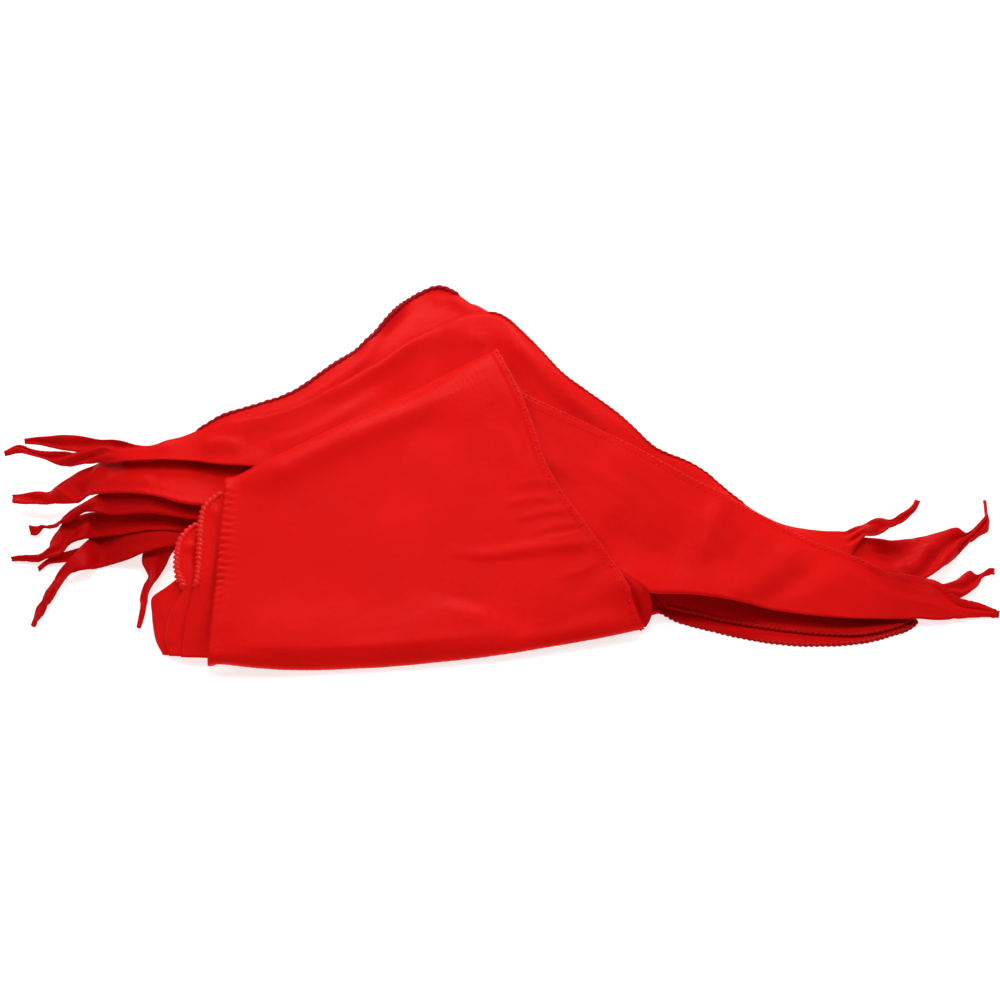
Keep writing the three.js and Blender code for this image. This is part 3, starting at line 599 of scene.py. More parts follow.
# Height of one crease at places in the picture: a soft ridge along a curve, which fades at
# both ends and may fall off faster on one hand than on the other
def crease_rise(px, py, points, left_run, right_run, height):
    line = np.array(points, dtype=float)
    flat = np.concatenate([line, np.zeros((len(line), 1))], axis=1)[:, None, :]
    curve = smooth_rows(flat, [CREASE_POINTS] * (len(line) - 1))[:, 0, :2]
    near = max(left_run, right_run) * CREASE_REACH
    low, high = curve.min(axis=0) - near, curve.max(axis=0) + near
    inside = (px > low[0]) & (px < high[0]) & (py > low[1]) & (py < high[1])
    rise = np.zeros(px.shape)
    if not inside.any():
        return rise
    x, y = px[inside], py[inside]
    offset_x = x[:, None] - curve[None, :, 0]
    offset_y = y[:, None] - curve[None, :, 1]
    distance = np.hypot(offset_x, offset_y)
    nearest = distance.argmin(axis=1)
    ahead = np.gradient(curve, axis=0)[nearest]
    row = np.arange(len(x))
    dx, dy = offset_x[row, nearest], offset_y[row, nearest]
    turn = ahead[:, 0] * dy - ahead[:, 1] * dx
    right_hand = smooth_step(turn / (np.hypot(*ahead.T) * HANDS_APART) + 0.5)
    run = mix(left_run, right_run, right_hand)
    share = nearest / (len(curve) - 1)
    fade = smooth_step(share / END_FADE + END_LEFT)
    fade = fade * smooth_step((1 - share) / END_FADE + END_LEFT)
    falling = np.exp(-((distance[row, nearest] / run) ** 2) * CREASE_SHARPNESS)
    rise[inside] = height * fade * falling
    return rise


# Steps between the points of a grid, lengthwise and crosswise
def grid_steps(grid):
    return lengths(np.diff(grid, axis=0)), lengths(np.diff(grid, axis=1))


def run_lengths(grid):
    along, across = grid_steps(grid)
    u = np.concatenate([np.zeros((1, grid.shape[1])), along.cumsum(axis=0)])
    v = np.concatenate([np.zeros((grid.shape[0], 1)), across.cumsum(axis=1)], axis=1)
    return u, v


# Upward normals of a grid, and whether its own turn already points up
def upward_normals(grid):
    least = 1e-9
    normals = np.cross(np.gradient(grid, axis=0), np.gradient(grid, axis=1))
    normals /= np.maximum(lengths(normals), least)[..., None]
    turn = 1 if normals[..., 2].mean() > 0 else -1
    return normals * turn, turn


# Maps of the highest upper side laid so far and of the lowest underside. Anything under the
# table level counts as bare table
map_columns = round(2 * MAP_HALF_X / MAP_CELL)
map_rows = round(2 * MAP_HALF_Y / MAP_CELL)
TABLE_LEVEL = 0.1
NO_CEILING = 1000.0
laid = np.zeros(map_rows * map_columns)
ceiling = np.full(map_rows * map_columns, NO_CEILING)


def map_places(points):
    column = np.floor((points[..., 0] + MAP_HALF_X) / MAP_CELL).astype(int)
    row = np.floor((points[..., 1] + MAP_HALF_Y) / MAP_CELL).astype(int)
    column = np.clip(column, 1, map_columns - 2)
    return np.clip(row, 1, map_rows - 2) * map_columns + column


# How much more height a sloping layer takes than a level one
def slope_share(grid):
    normals, _ = upward_normals(grid)
    return 1 / np.maximum(np.abs(normals[..., 2]), STEEPEST)


# Height laid so far at places, smooth between the middles of the map's cells
def laid_height(points):
    a = np.clip((points[..., 0] + MAP_HALF_X) / MAP_CELL - 0.5, 1, map_columns - 3)
    b = np.clip((points[..., 1] + MAP_HALF_Y) / MAP_CELL - 0.5, 1, map_rows - 3)
    i, j = a.astype(int), b.astype(int)
    s, t = a - i, b - j
    place = j * map_columns + i
    low = mix(laid[place], laid[place + 1], s)
    high = mix(laid[place + map_columns], laid[place + map_columns + 1], s)
    return mix(low, high, t)


# How a sheet is raised: the slopes, the rounds, the points that a rise spreads over, and how
# often it is softened
DRAPE_SLOPE, DRAPE_ROUNDS, SPREAD_POINTS = 0.35, 3, 10
SOFT_EACH, SOFT_WHOLE, SOFT_LAST = 6, 12, 2


# Spread rises over their neighbours, falling by a share of each step
def spread(rise, steps):
    along, across = (DRAPE_SLOPE * step for step in steps)
    for _ in range(SPREAD_POINTS):
        wide = rise.copy()
        wide[1:] = np.maximum(wide[1:], rise[:-1] - along)
        wide[:-1] = np.maximum(wide[:-1], rise[1:] - along)
        wide[:, 1:] = np.maximum(wide[:, 1:], rise[:, :-1] - across)
        wide[:, :-1] = np.maximum(wide[:, :-1], rise[:, 1:] - across)
        rise = wide
    return rise


def soften(field, rounds):
    for _ in range(rounds):
        padded = np.pad(field, 1, mode="edge")
        beside = padded[:-2, 1:-1] + padded[2:, 1:-1] + padded[1:-1, :-2] + padded[1:-1, 2:]
        field = field / 2 + beside / 8
    return field


# How far each point of a grid has to rise to be clear of what is laid
def lack_of_room(grid, half):
    under = laid_height(grid)
    wanted = np.where(under > TABLE_LEVEL, under + GAP + half * slope_share(grid), half)
    return np.maximum(wanted - grid[..., 2], 0)


# Raise a grid off what is already laid, in soft slopes
def drape(grid, half):
    start = grid[..., 2].copy()
    for _ in range(DRAPE_ROUNDS):
        rise = lack_of_room(grid, half)
        wide = soften(spread(rise, grid_steps(grid)), SOFT_EACH)
        grid[..., 2] += np.maximum(rise, wide)
    grid[..., 2] = start + soften(grid[..., 2] - start, SOFT_WHOLE)
    grid[..., 2] += soften(spread(lack_of_room(grid, half), grid_steps(grid)), SOFT_LAST)


# Enter a grid in a height map, at points less than a cell apart for nearly all of its steps
def enter(grid, height, heights, pick):
    nearly_all, points_per_cell = 95, 1.5
    entry = np.concatenate([grid[..., :2], height[..., None]], axis=-1)
    step = max(np.percentile(steps, nearly_all) for steps in grid_steps(grid))
    parts = math.ceil(step / MAP_CELL * points_per_cell)
    for s in np.arange(parts) / parts:
        for t in np.arange(parts) / parts:
            near = mix(entry[:-1, :-1], entry[1:, :-1], s)
            far = mix(entry[:-1, 1:], entry[1:, 1:], s)
            point = mix(near, far, t)
            pick.at(heights, map_places(point), point[..., 2])


def lay_down(grid, half):
    enter(grid, grid[..., 2] + half * slope_share(grid), laid, np.maximum)


def cover(grid, half):
    enter(grid, grid[..., 2] - half * slope_share(grid), ceiling, np.minimum)


# The lowest underside above places, taken over the cells around each one
def ceiling_above(points):
    around = range(-2, 3)
    place = map_places(points)
    lowest = ceiling[place]
    for across in around:
        for up in around:
            beside = np.clip(place + up * map_columns + across, 0, ceiling.size - 1)
            lowest = np.minimum(lowest, ceiling[beside])
    return lowest


# Materials

SHADE_SCALE, CRUMB_SCALE, WEAVE_SCALE = 26, 240, 900
# Places on the noise of the shade, and the strength of the colour there
SHADE_RAMP = [(0.3, 0.94), (0.7, 1.04)]
# Painted shade on the twisted tails, which darkens their colour from this far out to the full
# shade
TAILS_FROM, TAILS_FULL = 0.19, 0.24
PAINTED_TAIL_SHADE = (0.8, 0.6, 0.8, 1)
# Colour sockets of a mix node, by number because other sockets share their names
MIX_FIRST, MIX_SECOND, MIX_RESULT = 6, 7, 2
HIGHLIGHT_TINT = (1.0, 0.4, 0.35, 1)


# Set inputs of a node, each to a value or to the output of another node
def fill(links, node, inputs):
    for socket, value in inputs.items():
        if isinstance(value, bpy.types.NodeSocket):
            links.new(value, node.inputs[socket])
        else:
            node.inputs[socket].default_value = value
    return node.outputs


def new_material(name, inputs):
    material = bpy.data.materials.new(name)
    material.use_nodes = True
    tree = material.node_tree
    fill(tree.links, tree.nodes["Principled BSDF"], inputs)
    return material


def red_cloth(name, colour, roughness, specular):
    material = new_material(name, {
        "Roughness": roughness,
        "Specular IOR Level": specular,
        "Specular Tint": HIGHLIGHT_TINT,
    })
    nodes, links = material.node_tree.nodes, material.node_tree.links
    add = lambda kind, inputs: fill(links, nodes.new(kind), inputs)
    place = nodes.new("ShaderNodeTexCoord").outputs
    noise = {"Scale": SHADE_SCALE, "Detail": 5, "Vector": place["Object"]}
    ramp = nodes.new("ShaderNodeValToRGB")
    for element, (position, strength) in zip(ramp.color_ramp.elements, SHADE_RAMP):
        element.position = position
        element.color = (*(min(part * strength, 1) for part in colour), 1)
    shade = fill(links, ramp, {"Fac": add("ShaderNodeTexNoise", noise)["Fac"]})
    # Painted shade: the colour is multiplied darker on the tails, far out to either side
    aside = nodes.new("ShaderNodeMath")
    aside.operation = "ABSOLUTE"
    axes = add("ShaderNodeSeparateXYZ", {"Vector": place["Object"]})
    span = {"From Min": TAILS_FROM, "From Max": TAILS_FULL}
    span["Value"] = fill(links, aside, {0: axes["X"]})["Value"]
    tail_shade_mix = nodes.new("ShaderNodeMix")
    tail_shade_mix.data_type = "RGBA"
    tail_shade_mix.blend_type = "MULTIPLY"
    pair = {MIX_FIRST: shade["Color"], MIX_SECOND: PAINTED_TAIL_SHADE}
    pair["Factor"] = add("ShaderNodeMapRange", span)["Result"]
    woven = nodes.new("ShaderNodeMath")
    woven.operation = "MULTIPLY"
    for number, direction in enumerate("XY"):
        wave = nodes.new("ShaderNodeTexWave")
        wave.bands_direction = direction
        bands = {"Scale": WEAVE_SCALE, "Distortion": 0.6, "Vector": place["UV"]}
        fill(links, woven, {number: fill(links, wave, bands)["Fac"]})
    weave = {"Strength": 0.25, "Distance": 0.0001, "Height": woven.outputs["Value"]}
    noise = {"Scale": CRUMB_SCALE, "Detail": 4, "Vector": place["Object"]}
    crumb = {"Strength": 0.3, "Distance": 0.0008, "Normal": add("ShaderNodeBump", weave)["Normal"]}
    crumb["Height"] = add("ShaderNodeTexNoise", noise)["Fac"]
    fill(links, nodes["Principled BSDF"], {
        "Base Color": fill(links, tail_shade_mix, pair)[MIX_RESULT],
        "Normal": add("ShaderNodeBump", crumb)["Normal"],
    })
    return material


# Colour, roughness and specular level of each cloth and each thread
cloths = {
    "upper": red_cloth("scarf_cloth", (0.76, 0.0062, 0.0052), 0.36, 0.03),
    # Darker copy of the cloth with painted shade, for the lower layers that lie in the shade of
    # those above
    "lower": red_cloth("scarf_cloth_painted_shade", (0.6, 0.0035, 0.0038), 0.45, 0.03),
}
threads = {
    # Thread in the cloth's red, made a little lighter as a painted highlight on thread that
    # catches the light
    "plain": red_cloth("hem_thread_painted_highlight", (0.82, 0.008, 0.007), 0.38, 0.2),
    # Darker threads with painted shade, for hems that lie in shadow
    "deep": red_cloth("hem_thread_painted_shade", (0.48, 0.003, 0.0035), 0.45, 0.1),
    "dark": red_cloth("hem_thread_painted_deep_shade", (0.36, 0.003, 0.009), 0.45, 0.1),
}


# Meshes

def add_object(name, data):
    item = bpy.data.objects.new(name, data)
    bpy.context.scene.collection.objects.link(item)
    return item


def make_piece(name, points, faces, material, uv=None):
    mesh = bpy.data.meshes.new(name)
    mesh.from_pydata((points * METRE).tolist(), [], faces)
    mesh.materials.append(material)
    mesh.shade_smooth()
    if uv is not None:
        layer = mesh.uv_layers.new(name="cloth")
        corner = np.empty(len(mesh.loops), dtype=np.int32)
        mesh.loops.foreach_get("vertex_index", corner)
        layer.data.foreach_set("uv", (uv[corner] * METRE).ravel().astype(np.float32))
    piece = add_object(name, mesh)
    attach(piece, "root")
    return piece


# Corner numbers of each cell of a grid
def cells_of(numbers):
    near, far = numbers[:-1], numbers[1:]
    return np.stack([near[:, :-1], far[:, :-1], far[:, 1:], near[:, 1:]], axis=-1).reshape(-1, 4)


# Faces of a closed solid between the points of an upper grid and those of a lower one
def closed_faces(shape, turn):
    upper = np.arange(shape[0] * shape[1]).reshape(shape)
    lower = upper + upper.size
    faces = [cells_of(upper), cells_of(lower)[:, ::-1]]
    for edge, way in ((np.s_[:, 0], 1), (np.s_[:, -1], -1), (np.s_[0], -1), (np.s_[-1], 1)):
        top, bottom = upper[edge], lower[edge]
        rim = np.stack([top[:-1], bottom[:-1], bottom[1:], top[1:]], axis=-1)
        faces.append(rim[:, ::way])
    return np.concatenate(faces)[:, ::turn].tolist()


def tube_faces(rings, sides):
    numbers = np.arange(rings * sides).reshape(rings, sides)
    wrapped = np.concatenate([numbers, numbers[:, :1]], axis=1)
    faces = cells_of(wrapped)[:, ::-1].tolist()
    return faces + [numbers[0][::-1].tolist(), numbers[-1].tolist()]


# Closed thin shell round a grid
def shell(name, grid, thickness, material):
    normals, turn = upward_normals(grid)
    offset = normals * (thickness / 2)[..., None]
    points = np.concatenate([(grid + offset).reshape(-1, 3), (grid - offset).reshape(-1, 3)])
    points[:, 2] = np.maximum(points[:, 2], LOWEST)
    uv = np.stack([run.ravel() for run in run_lengths(grid)], axis=-1)
    faces = closed_faces(grid.shape[:2], turn)
    return make_piece(name, points, faces, material, np.concatenate([uv, uv]))


# Points a chosen pitch apart along a line, with the values carried along it
def evenly(points, pitch, carried):
    runs = np.concatenate([[0], lengths(np.diff(points, axis=0)).cumsum()])
    count = max(int(runs[-1] / pitch), 2)
    wanted = np.linspace(0, runs[-1], count + 1)
    pick = lambda values: np.stack([np.interp(wanted, runs, c) for c in values.T], axis=-1)
    return pick(points), pick(carried)


# Points of a rope round it and from lobe to lobe, and the form of its lobes and ends
ROPE_SIDES, ROPE_STEPS = 12, 7
LOBE_LEAST, LOBE_SWELL = 0.56, 0.52
LOBE_UNEVEN, LOBE_RUN, LOBE_SEED = 0.12, 1.3, 7
TAPER_STEPS, TAPER_LEFT = 6, 0.25


# Rope of thread wrapped slantwise round an edge
def rope_mesh(points, normals, across, upward, pitch):
    centres, up = evenly(points, pitch / ROPE_STEPS, normals)
    ahead = unit(np.gradient(centres, axis=0))
    beside = unit(np.cross(ahead, up))
    up = np.cross(beside, ahead)
    ring = np.arange(len(centres))[:, None]
    angle = np.arange(ROPE_SIDES)[None, :] * FULL_TURN / ROPE_SIDES
    lobe = np.abs(np.sin(math.pi * ring / ROPE_STEPS - angle))
    from_end = np.minimum(ring, len(centres) - 1 - ring)
    taper = np.minimum(1, from_end / TAPER_STEPS + TAPER_LEFT)
    hills = soft_noise(ring / ROPE_STEPS, angle * 0, LOBE_RUN, LOBE_RUN, LOBE_SEED)
    uneven = 1 + LOBE_UNEVEN * hills
    reach = (taper * uneven * (LOBE_LEAST + LOBE_SWELL * lobe))[..., None]
    sideways = across * np.cos(angle)[..., None] * beside[:, None]
    return centres[:, None] + reach * (sideways + upward * np.sin(angle)[..., None] * up[:, None])


# Sheets

# Share of a sheet's width in a rolled edge, its points, and how far in the even ones start
ROLL_SHARE = 0.05
ROLL_POINTS = [0, 0.25, 0.6, 1.1]
ROLL_CLEAR = 1.6


# Shares across a sheet, crowded at its edges where they are rolled
def across_shares(cells, roll):
    shares = np.arange(cells + 1) / cells
    if not roll:
        return shares
    near = np.array(ROLL_POINTS) * ROLL_SHARE
    inner = shares[(shares > ROLL_CLEAR * ROLL_SHARE) & (shares < 1 - ROLL_CLEAR * ROLL_SHARE)]
    return np.concatenate([near, inner, 1 - near[::-1]])


# Quarter round rise from a rolled edge up to the flat of the sheet
def roll_rise(shares, roll):
    inward = np.minimum(np.minimum(shares, 1 - shares) / ROLL_SHARE, 1)
    return roll * np.sqrt(1 - (1 - inward) ** 2)


# Rows over which the bow of the panel's right hem grows
BOW_ROWS = 4


# The rows of a sheet: for each point its place, its place in the picture, 1 in a tail and 0
# in the body, and its share of the way across
def control_rows(name):
    sheet = SHEETS[name]
    roll = sheet.get("roll", 0)
    shares = across_shares(sheet["cells"], roll)
    parts = [(row, 1.0) for row in sheet.get("left", [])]
    parts += [(row, 0.0) for row in sheet["body"]]
    parts += [(row, 1.0) for row in sheet.get("right", [])]
    rows = []
    for place, (row, tail) in enumerate(parts):
        if len(row) < len(EDGE_COLUMNS):
            row = (*row, sheet["lift"], sheet["lift"])
        edge = dict(zip(EDGE_COLUMNS, row))
        px = mix(edge["backX"], edge["frontX"], shares)
        py = mix(edge["backY"], edge["frontY"], shares)
        if name == "front_panel":
            bow_y, bow_x = np.array(PANEL_HEM_BOW, dtype=float).T
            strength = smooth_step((place - len(parts) + BOW_ROWS + 1) / BOW_ROWS)
            px = px + strength * smooth_values(bow_y, bow_x, py)
        height = mix(edge["backUp"], edge["frontUp"], shares) + roll_rise(shares, roll)
        points = at_height(px, py, height) if tail else on_heap(px, py, height)
        carried = [px, py, np.full(px.shape, tail), shares]
        rows.append(np.concatenate([points, np.stack(carried, axis=-1)], axis=-1))
    return np.array(rows)


# How far in the two lower corners of the back layer are drawn, and how close to its ends
CORNER_CUT, CORNER_POWER = 26, 7


# The rows of the layer at the back, which has no place in the picture and no tails
def back_drop_rows():
    first_x, last_x, count, cells = -217, 181, 22, 5
    lap, reach, lift = 10, 6, -4.5
    x, share = np.meshgrid(
        np.linspace(first_x, last_x, count + 1), np.linspace(0, 1, cells + 1), indexing="ij"
    )
    side = 2 * (x - first_x) / (last_x - first_x) - 1
    x = x - CORNER_CUT * side**CORNER_POWER * (1 - share) ** 2
    s = section_at(x)
    y = mix(s["back"] + reach, s["ridge"] - lap, share)
    z = np.maximum(heap_top(x, y) + lift, LAYER_HALF)
    zero = np.zeros(x.shape)
    return np.stack([x, y, z, zero, zero, zero, share], axis=-1)


def fine_grid(rows, spacing):
    turned = rows.transpose(1, 0, 2)
    turned = smooth_rows(turned, stretch_counts(turned, spacing))
    rows = turned.transpose(1, 0, 2)
    return smooth_rows(rows, stretch_counts(rows, spacing))


# Distance from one edge of a grid, and the run along that edge
def from_edge(u, v, edge):
    if edge == "back":
        return v, u
    if edge == "front":
        return v[:, -1:] - v, u
    if edge == "first":
        return u, v
    return u[-1:] - u, v


# Twist of the tails, and the fine crumple on it
TWIST_SHARE = 0.14
TWIST_WANDER, TWIST_RUN, TURN_RUN = 0.9, 34, 90
CRUMPLE_RUNS, CRUMPLE_SHARE = (9, 5), 0.4


# Folds and crumple of the tails, which turn slowly along them like twisted cloth
def tail_rise(grid, tail, share, folds, crumple, seed):
    u, v = run_lengths(grid)
    depth = np.minimum(crumple, v[:, -1:] * TWIST_SHARE) * smooth_step(tail)
    turn = TWIST_WANDER * soft_noise(u, v * 0, TWIST_RUN, TWIST_RUN, seed) + u / TURN_RUN
    wave = np.cos(FULL_TURN * (folds * share + turn))
    fine = soft_noise(u, v, *CRUMPLE_RUNS, seed + 1)
    return depth * (wave + CRUMPLE_SHARE * fine)


# Turned hem, with the groove of its seam
HEM_RISE, HEM_SOFT = 0.4, 0.9
GROOVE, GROOVE_BEYOND, GROOVE_WIDTH = -0.35, 0.3, 0.8
# Its puckers, and how far and over what runs their height and pitch wander
PUCKER, PUCKER_PITCH, PUCKER_REACH = 0.25, 4.4, 7.5
STRENGTH_WANDER, STRENGTH_RUN = 0.4, 26
PITCH_WANDER, PITCH_RUN = 0.5, 18


def hem_rise(u, v, edge, seed):
    away, run = from_edge(u, v, edge)
    band = HEM_RISE * (1 - smooth_step((away - HEM_WIDTH) / HEM_SOFT))
    groove = GROOVE * np.exp(-(((away - HEM_WIDTH - GROOVE_BEYOND) / GROOVE_WIDTH) ** 2))
    strength = soft_noise(run, away * 0, STRENGTH_RUN, STRENGTH_RUN, seed)
    strength = 1 - STRENGTH_WANDER + STRENGTH_WANDER * strength
    wander = PITCH_WANDER * soft_noise(run, away * 0, PITCH_RUN, PITCH_RUN, seed + 1)
    pucker = np.sin(FULL_TURN * (run / PUCKER_PITCH + wander))
    reach = np.exp(-((away / PUCKER_REACH) ** 2))
    return band + groove + PUCKER * strength * pucker * reach


# Folds of the back layer: the run of their lean, and their widths and depths from the top down
FOLD_RUN, FOLD_WIDTHS, FOLD_DEPTHS = 60, (0.8, 1.3), (0.25, 1)


def add_back_folds(rise, x, down):
    for at, lean, width, height in BACK_FOLDS:
        away = (x - at - lean * FOLD_RUN * down) / (width * mix(*FOLD_WIDTHS, down))
        rise += height * mix(*FOLD_DEPTHS, down) * np.exp(-(away**2))


# Left seam of the panel: its puckers, their ends in the picture, and its soft rise
SEAM_PUCKER, SEAM_PITCH, SEAM_REACH = 0.45, 7.2, 7
SEAM_FROM, SEAM_TO, SEAM_FADE = 484, 594, 8
SEAM_RISE, SEAM_RISE_REACH = 1.6, 6


def add_panel_seam(rise, u, py):
    puckers = np.exp(-((u / SEAM_REACH) ** 2)) * np.sin(FULL_TURN * py / SEAM_PITCH)
    start = smooth_step((py - SEAM_FROM) / SEAM_FADE)
    rise += SEAM_PUCKER * puckers * start * smooth_step((SEAM_TO - py) / SEAM_FADE)
    rise += SEAM_RISE * np.exp(-((u / SEAM_RISE_REACH) ** 2))


# Runs of a sheet's large and small hills, and the share of the small ones
LARGE_HILLS, SMALL_HILLS, SMALL_SHARE = (46, 24), (19, 11), 0.4
# Half of the room of the core of the pack, and how much thicker than a layer it is
PACK_HALF, PACK_EXTRA = 1.6, 2.2
FIRST_SEED, SEED_STEP = 100, 10

built = {}


def build_sheet(number, name, rows):
    look = dict(zip(LOOK_COLUMNS, LOOKS[name]))
    fine = fine_grid(rows, look["spacing"])
    grid = fine[..., :3].copy()
    px, py, tail, share = (fine[..., k] for k in range(3, 7))
    in_tail = np.clip(tail, 0, 1)
    u, v = run_lengths(grid)
    seed = FIRST_SEED + SEED_STEP * number
    rise = look["uneven"] * soft_noise(u, v, *LARGE_HILLS, seed)
    rise += look["uneven"] * SMALL_SHARE * soft_noise(u, v, *SMALL_HILLS, seed + 1)
    for crease in CREASES.get(name, []):
        rise += crease_rise(px, py, *crease)
    if name == "back_drop_sheet":
        add_back_folds(rise, grid[..., 0], 1 - share)
    if look["tail_folds"]:
        rise += tail_rise(grid, tail, share, look["tail_folds"], look["crumple"], seed + 3)
    for k, edge in enumerate(look["hems"]):
        rise += hem_rise(u, v, edge, seed + 5 + k)
    if name == "front_panel":
        add_panel_seam(rise, u, py)
    grid += upward_normals(grid)[0] * rise[..., None]
    half = mix(LAYER_HALF, TAIL_HALF, in_tail)
    thickness = WALL + TAIL_EXTRA * in_tail
    if name == "pack_core":
        half = np.full(u.shape, PACK_HALF)
        thickness = thickness + PACK_EXTRA
    drape(grid, half)
    below = laid_height(grid)
    lay_down(grid, half)
    cover(grid, half)
    piece = shell(f"{name}_cloth", grid, thickness, cloths[look["cloth"]])
    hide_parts(name)
    built[name] = {
        "piece": piece, "grid": grid, "px": px, "py": py, "tail": tail,
        "half": half, "below": below, "thickness": thickness,
    }


# Hidden layers: their ends, how far inside the back foot they start, their rim and their grid
CORE_LEFT, CORE_RIGHT = -223, 237
CORE_INSET, CORE_RIM = 6, 1.0
CORE_SPACING, CORE_ROWS = 3.0, 75
# Ripple in their side: its height, pitch, and how far above the rim it is whole
RIPPLE, RIPPLE_PITCH, RIPPLE_FADE = 0.5, 2.6, 4
# How far they rise to what lies above, the gap left there, and where they stop doing so
CORE_FILL, CORE_GAP = 16, 0.6
RIGHT_END, RIGHT_FADE = 212, 20
# Inner layers under back edges: how far inside, how deep and high, how far under the sheet in
# halves of its room, and the least height
INNER_EDGES = {"back_sheet_1": 6, "back_sheet_2": 5, "right_top_sheet": 5, "front_panel": 7}
INNER_DEPTH, INNER_REACH = 1.5, 9
INNER_UNDER, INNER_LEAST = 1.3, 0.05
# Rows with less of a tail in them than this count as body
BODY_TAIL = 0.01


# Grid over the top of the hidden layers
def core_top():
    xs = np.arange(CORE_LEFT, CORE_RIGHT, CORE_SPACING)
    x, t = np.meshgrid(xs, np.linspace(0, 1, CORE_ROWS + 1), indexing="ij")
    s = section_at(x)
    y = mix(s["back"] - CORE_INSET, s["front"] + s["inset"], t)
    z = np.maximum(heap_top(x, y) - s["under"], CORE_RIM)
    return np.stack([x, y, z], axis=-1)


# Layers folded in under a back edge, which close the view between two sheets
def inner_wall(name, inside):
    sheet = built[name]
    _, v = run_lengths(sheet["grid"])
    under = sheet["half"][..., None] * INNER_UNDER
    values = np.concatenate([sheet["grid"], under, sheet["below"][..., None]], axis=-1)
    lines = []
    for away in (inside, inside + INNER_DEPTH):
        line = np.array([
            [np.interp(away, v[row], values[row, :, k]) for k in range(values.shape[-1])]
            for row in np.flatnonzero(sheet["tail"][:, 0] < BODY_TAIL)
        ])
        top = line[:, 2] - line[:, 3]
        bottom = np.clip(line[:, 4], top - INNER_REACH, top - INNER_LEAST)
        lines.append([np.column_stack([line[:, :2], height]) for height in (top, bottom)])
    return np.stack([lines[0][0], lines[1][0], lines[1][1], lines[0][1]], axis=1)


# Rounded solid of the hidden layers, which fills what the sheets above leave free, with a
# rippled side where the layers lie on each other
def build_core(top):
    x, y, z = (top[..., k] for k in range(3))
    ripple = RIPPLE * np.sin(FULL_TURN * z / RIPPLE_PITCH)
    ripple = ripple * smooth_step((z - CORE_RIM) / RIPPLE_FADE)
    z = np.maximum(z - RIPPLE + ripple, CORE_RIM)
    room = ceiling_above(top)
    room = np.where(room < NO_CEILING, room - CORE_GAP - z, 0)
    z = z + np.clip(room, 0, CORE_FILL) * smooth_step((RIGHT_END - x) / RIGHT_FADE)
    layers = [np.stack([x, y, height], axis=-1) for height in (z, np.zeros(x.shape))]
    points = np.concatenate([layer.reshape(-1, 3) for layer in layers])
    faces = closed_faces(x.shape, -1)
    for name, inside in INNER_EDGES.items():
        ring = inner_wall(name, inside)
        faces += [[n + len(points) for n in face] for face in tube_faces(*ring.shape[:2])]
        points = np.concatenate([points, ring.reshape(-1, 3)])
    # The hidden layers take the cloth with painted shade
    piece = make_piece("folded_core_cloth", points, faces, cloths["lower"], points[:, :2])
    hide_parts("folded_core")


# Line along one edge of a sheet, some points inside it, with its normals
def edge_line(name, edge, inside):
    grid = built[name]["grid"]
    normals, _ = upward_normals(grid)
    picks = {
        "back": (slice(None), inside),
        "front": (slice(None), -1 - inside),
        "last": (-1 - inside, slice(None)),
    }
    line = {key: built[name][key][picks[edge]] for key in ("px", "py", "thickness")}
    return {**line, "points": grid[picks[edge]], "normals": normals[picks[edge]]}


SOFT_LINE_ROUNDS = 3


def soft_line(points):
    for _ in range(SOFT_LINE_ROUNDS):
        middle = points[1:-1] / 2 + (points[:-2] + points[2:]) / 4
        points = np.concatenate([points[:1], middle, points[-1:]])
    return points


# Ropes wider than this lie a point inside the edge
WIDE_ROPE = 2


def build_rope(row):
    rope = dict(zip(ROPE_COLUMNS, row))
    line = edge_line(rope["sheet"], rope["edge"], 1 if rope["across"] > WIDE_ROPE else 0)
    kept = (line["px"] >= rope["firstX"]) & (line["px"] <= rope["lastX"])
    kept &= (line["py"] >= rope["firstY"]) & (line["py"] <= rope["lastY"])
    points = soft_line(line["points"][kept])
    normals = line["normals"][kept]
    tube = rope_mesh(points, normals, rope["across"], rope["up"], rope["pitch"])
    tube[..., 2] = np.maximum(tube[..., 2], LOWEST)
    faces = tube_faces(*tube.shape[:2])
    name = f"{rope['sheet']}_rope_hem"
    return make_piece(name, tube.reshape(-1, 3), faces, threads[rope["thread"]])


# Rings and sides of a stitch, and how blunt its ends are
STITCH_RINGS, STITCH_SIDES, STITCH_BLUNT = 5, 6, 0.08


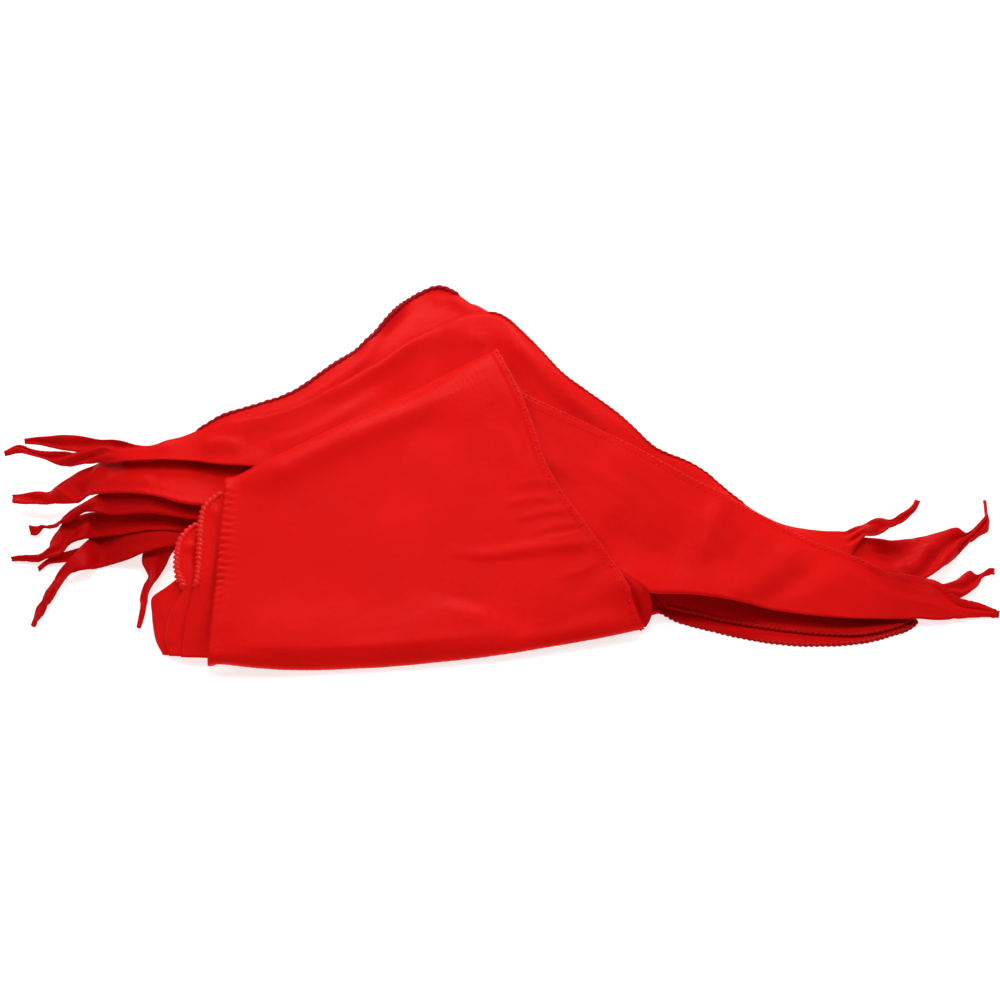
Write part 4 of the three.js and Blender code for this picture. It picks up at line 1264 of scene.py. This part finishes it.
# Row of small stitches beside the edge of a sheet
def build_stitches(row):
    stitch = dict(zip(STITCH_COLUMNS, row))
    name, edge = stitch["sheet"], stitch["edge"]
    spacing = dict(zip(LOOK_COLUMNS, LOOKS[name]))["spacing"]
    line = edge_line(name, edge, round(stitch["inside"] / spacing))
    points = line["points"] + line["normals"] * (line["thickness"] / 2)[:, None]
    centres, up = evenly(points, stitch["pitch"], line["normals"])
    ahead = unit(np.gradient(centres, axis=0))
    beside = np.cross(ahead, up)
    turn = np.arange(STITCH_SIDES) * FULL_TURN / STITCH_SIDES
    sweep = np.linspace(-1, 1, STITCH_RINGS)
    slim = np.sqrt(np.maximum(1 - sweep**2, STITCH_BLUNT))
    capsule = tube_faces(STITCH_RINGS, STITCH_SIDES)
    points, faces = [], []
    for k, (centre, u, a, b) in enumerate(zip(centres, up, ahead, beside)):
        lengthwise = np.outer(sweep * stitch["length"] / 2, a)[:, None]
        sideways = np.outer(np.cos(turn) * stitch["width"] / 2, b)
        upward = np.outer(np.sin(turn) * stitch["height"], u)
        points.append(centre + lengthwise + slim[:, None, None] * (sideways + upward))
        first = k * STITCH_RINGS * STITCH_SIDES
        faces += [[corner + first for corner in face] for face in capsule]
    points = np.concatenate([part.reshape(-1, 3) for part in points])
    piece_name = f"{name}_{edge}_stitches_{stitch['pitch']:g}"
    # Stitches in the thread with a painted highlight
    return make_piece(piece_name, points, faces, threads["plain"])


hidden_top = core_top()
lay_down(hidden_top, 0)
order = list(SHEETS)
order.insert(order.index("back_sheet_1"), "back_drop_sheet")
for number, name in enumerate(order):
    rows = back_drop_rows() if name == "back_drop_sheet" else control_rows(name)
    build_sheet(number, name, rows)
build_core(hidden_top)

trims = {name: [] for name in order}
for rope in ROPES:
    trims[rope[0]].append(build_rope(rope))
for row in STITCH_ROWS:
    trims[row[0]].append(build_stitches(row))


# Stage, light and camera

WORLD_STRENGTH = 0.26
FLOOR_REACH = 4000
NEAREST_VIEW = 0.05
LIGHT_TARGET = Vector((0, -0.02, 0))
# Place in metres, size in metres and power in watts of each light
LIGHTS = {
    "back_softbox": ((-0.1, 1.15, 1.1), 0.7, 10),
    "top_softbox": ((0.0, 0.25, 1.7), 0.6, 9),
    "left_softbox": ((-1.1, -0.1, 1.3), 0.6, 5.5),
    "right_softbox": ((1.1, 0.0, 1.3), 0.7, 6.5),
}


def add_floor():
    corners = [(-1, -1, 0), (1, -1, 0), (1, 1, 0), (-1, 1, 0)]
    mesh = bpy.data.meshes.new("floor")
    corners = [Vector(corner) * FLOOR_REACH * METRE for corner in corners]
    mesh.from_pydata(corners, [], [(0, 1, 2, 3)])
    mesh.materials.append(new_material("pale_floor", {
        "Base Color": (0.45, 0.45, 0.45, 1),
        "Roughness": 0.95,
        "Specular IOR Level": 0.1,
        "Emission Color": (1, 1, 1, 1),
        "Emission Strength": 0.75,
    }))
    add_object("floor", mesh)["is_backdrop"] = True


def add_light(name, place, size, power):
    light = bpy.data.lights.new(name, "AREA")
    light.shape = "DISK"
    light.size = size
    light.energy = power
    lamp = add_object(name, light)
    lamp.location = place
    lamp.rotation_euler = (LIGHT_TARGET - Vector(place)).to_track_quat("-Z", "Y").to_euler()


def add_world():
    world = bpy.data.worlds.new("soft_white")
    world.use_nodes = True
    background = world.node_tree.nodes["Background"]
    background.inputs["Color"].default_value = (1, 1, 1, 1)
    background.inputs["Strength"].default_value = WORLD_STRENGTH
    bpy.context.scene.world = world


def add_camera():
    camera = bpy.data.cameras.new("camera")
    camera.lens = LENS
    camera.sensor_width = SENSOR
    camera.clip_start = NEAREST_VIEW
    holder = add_object("camera", camera)
    holder.location = [float(part) * METRE for part in EYE]
    holder.rotation_euler = (math.radians(90 - VIEW_ELEVATION), 0, 0)
    bpy.context.scene.camera = holder


add_floor()
add_world()
for name, light in LIGHTS.items():
    add_light(name, *light)
add_camera()
bpy.context.scene.view_settings.view_transform = "Standard"

boxes = {"cad": cad_box, "visual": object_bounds()}
{name: [list(corner) for corner in box] for name, box in boxes.items()}
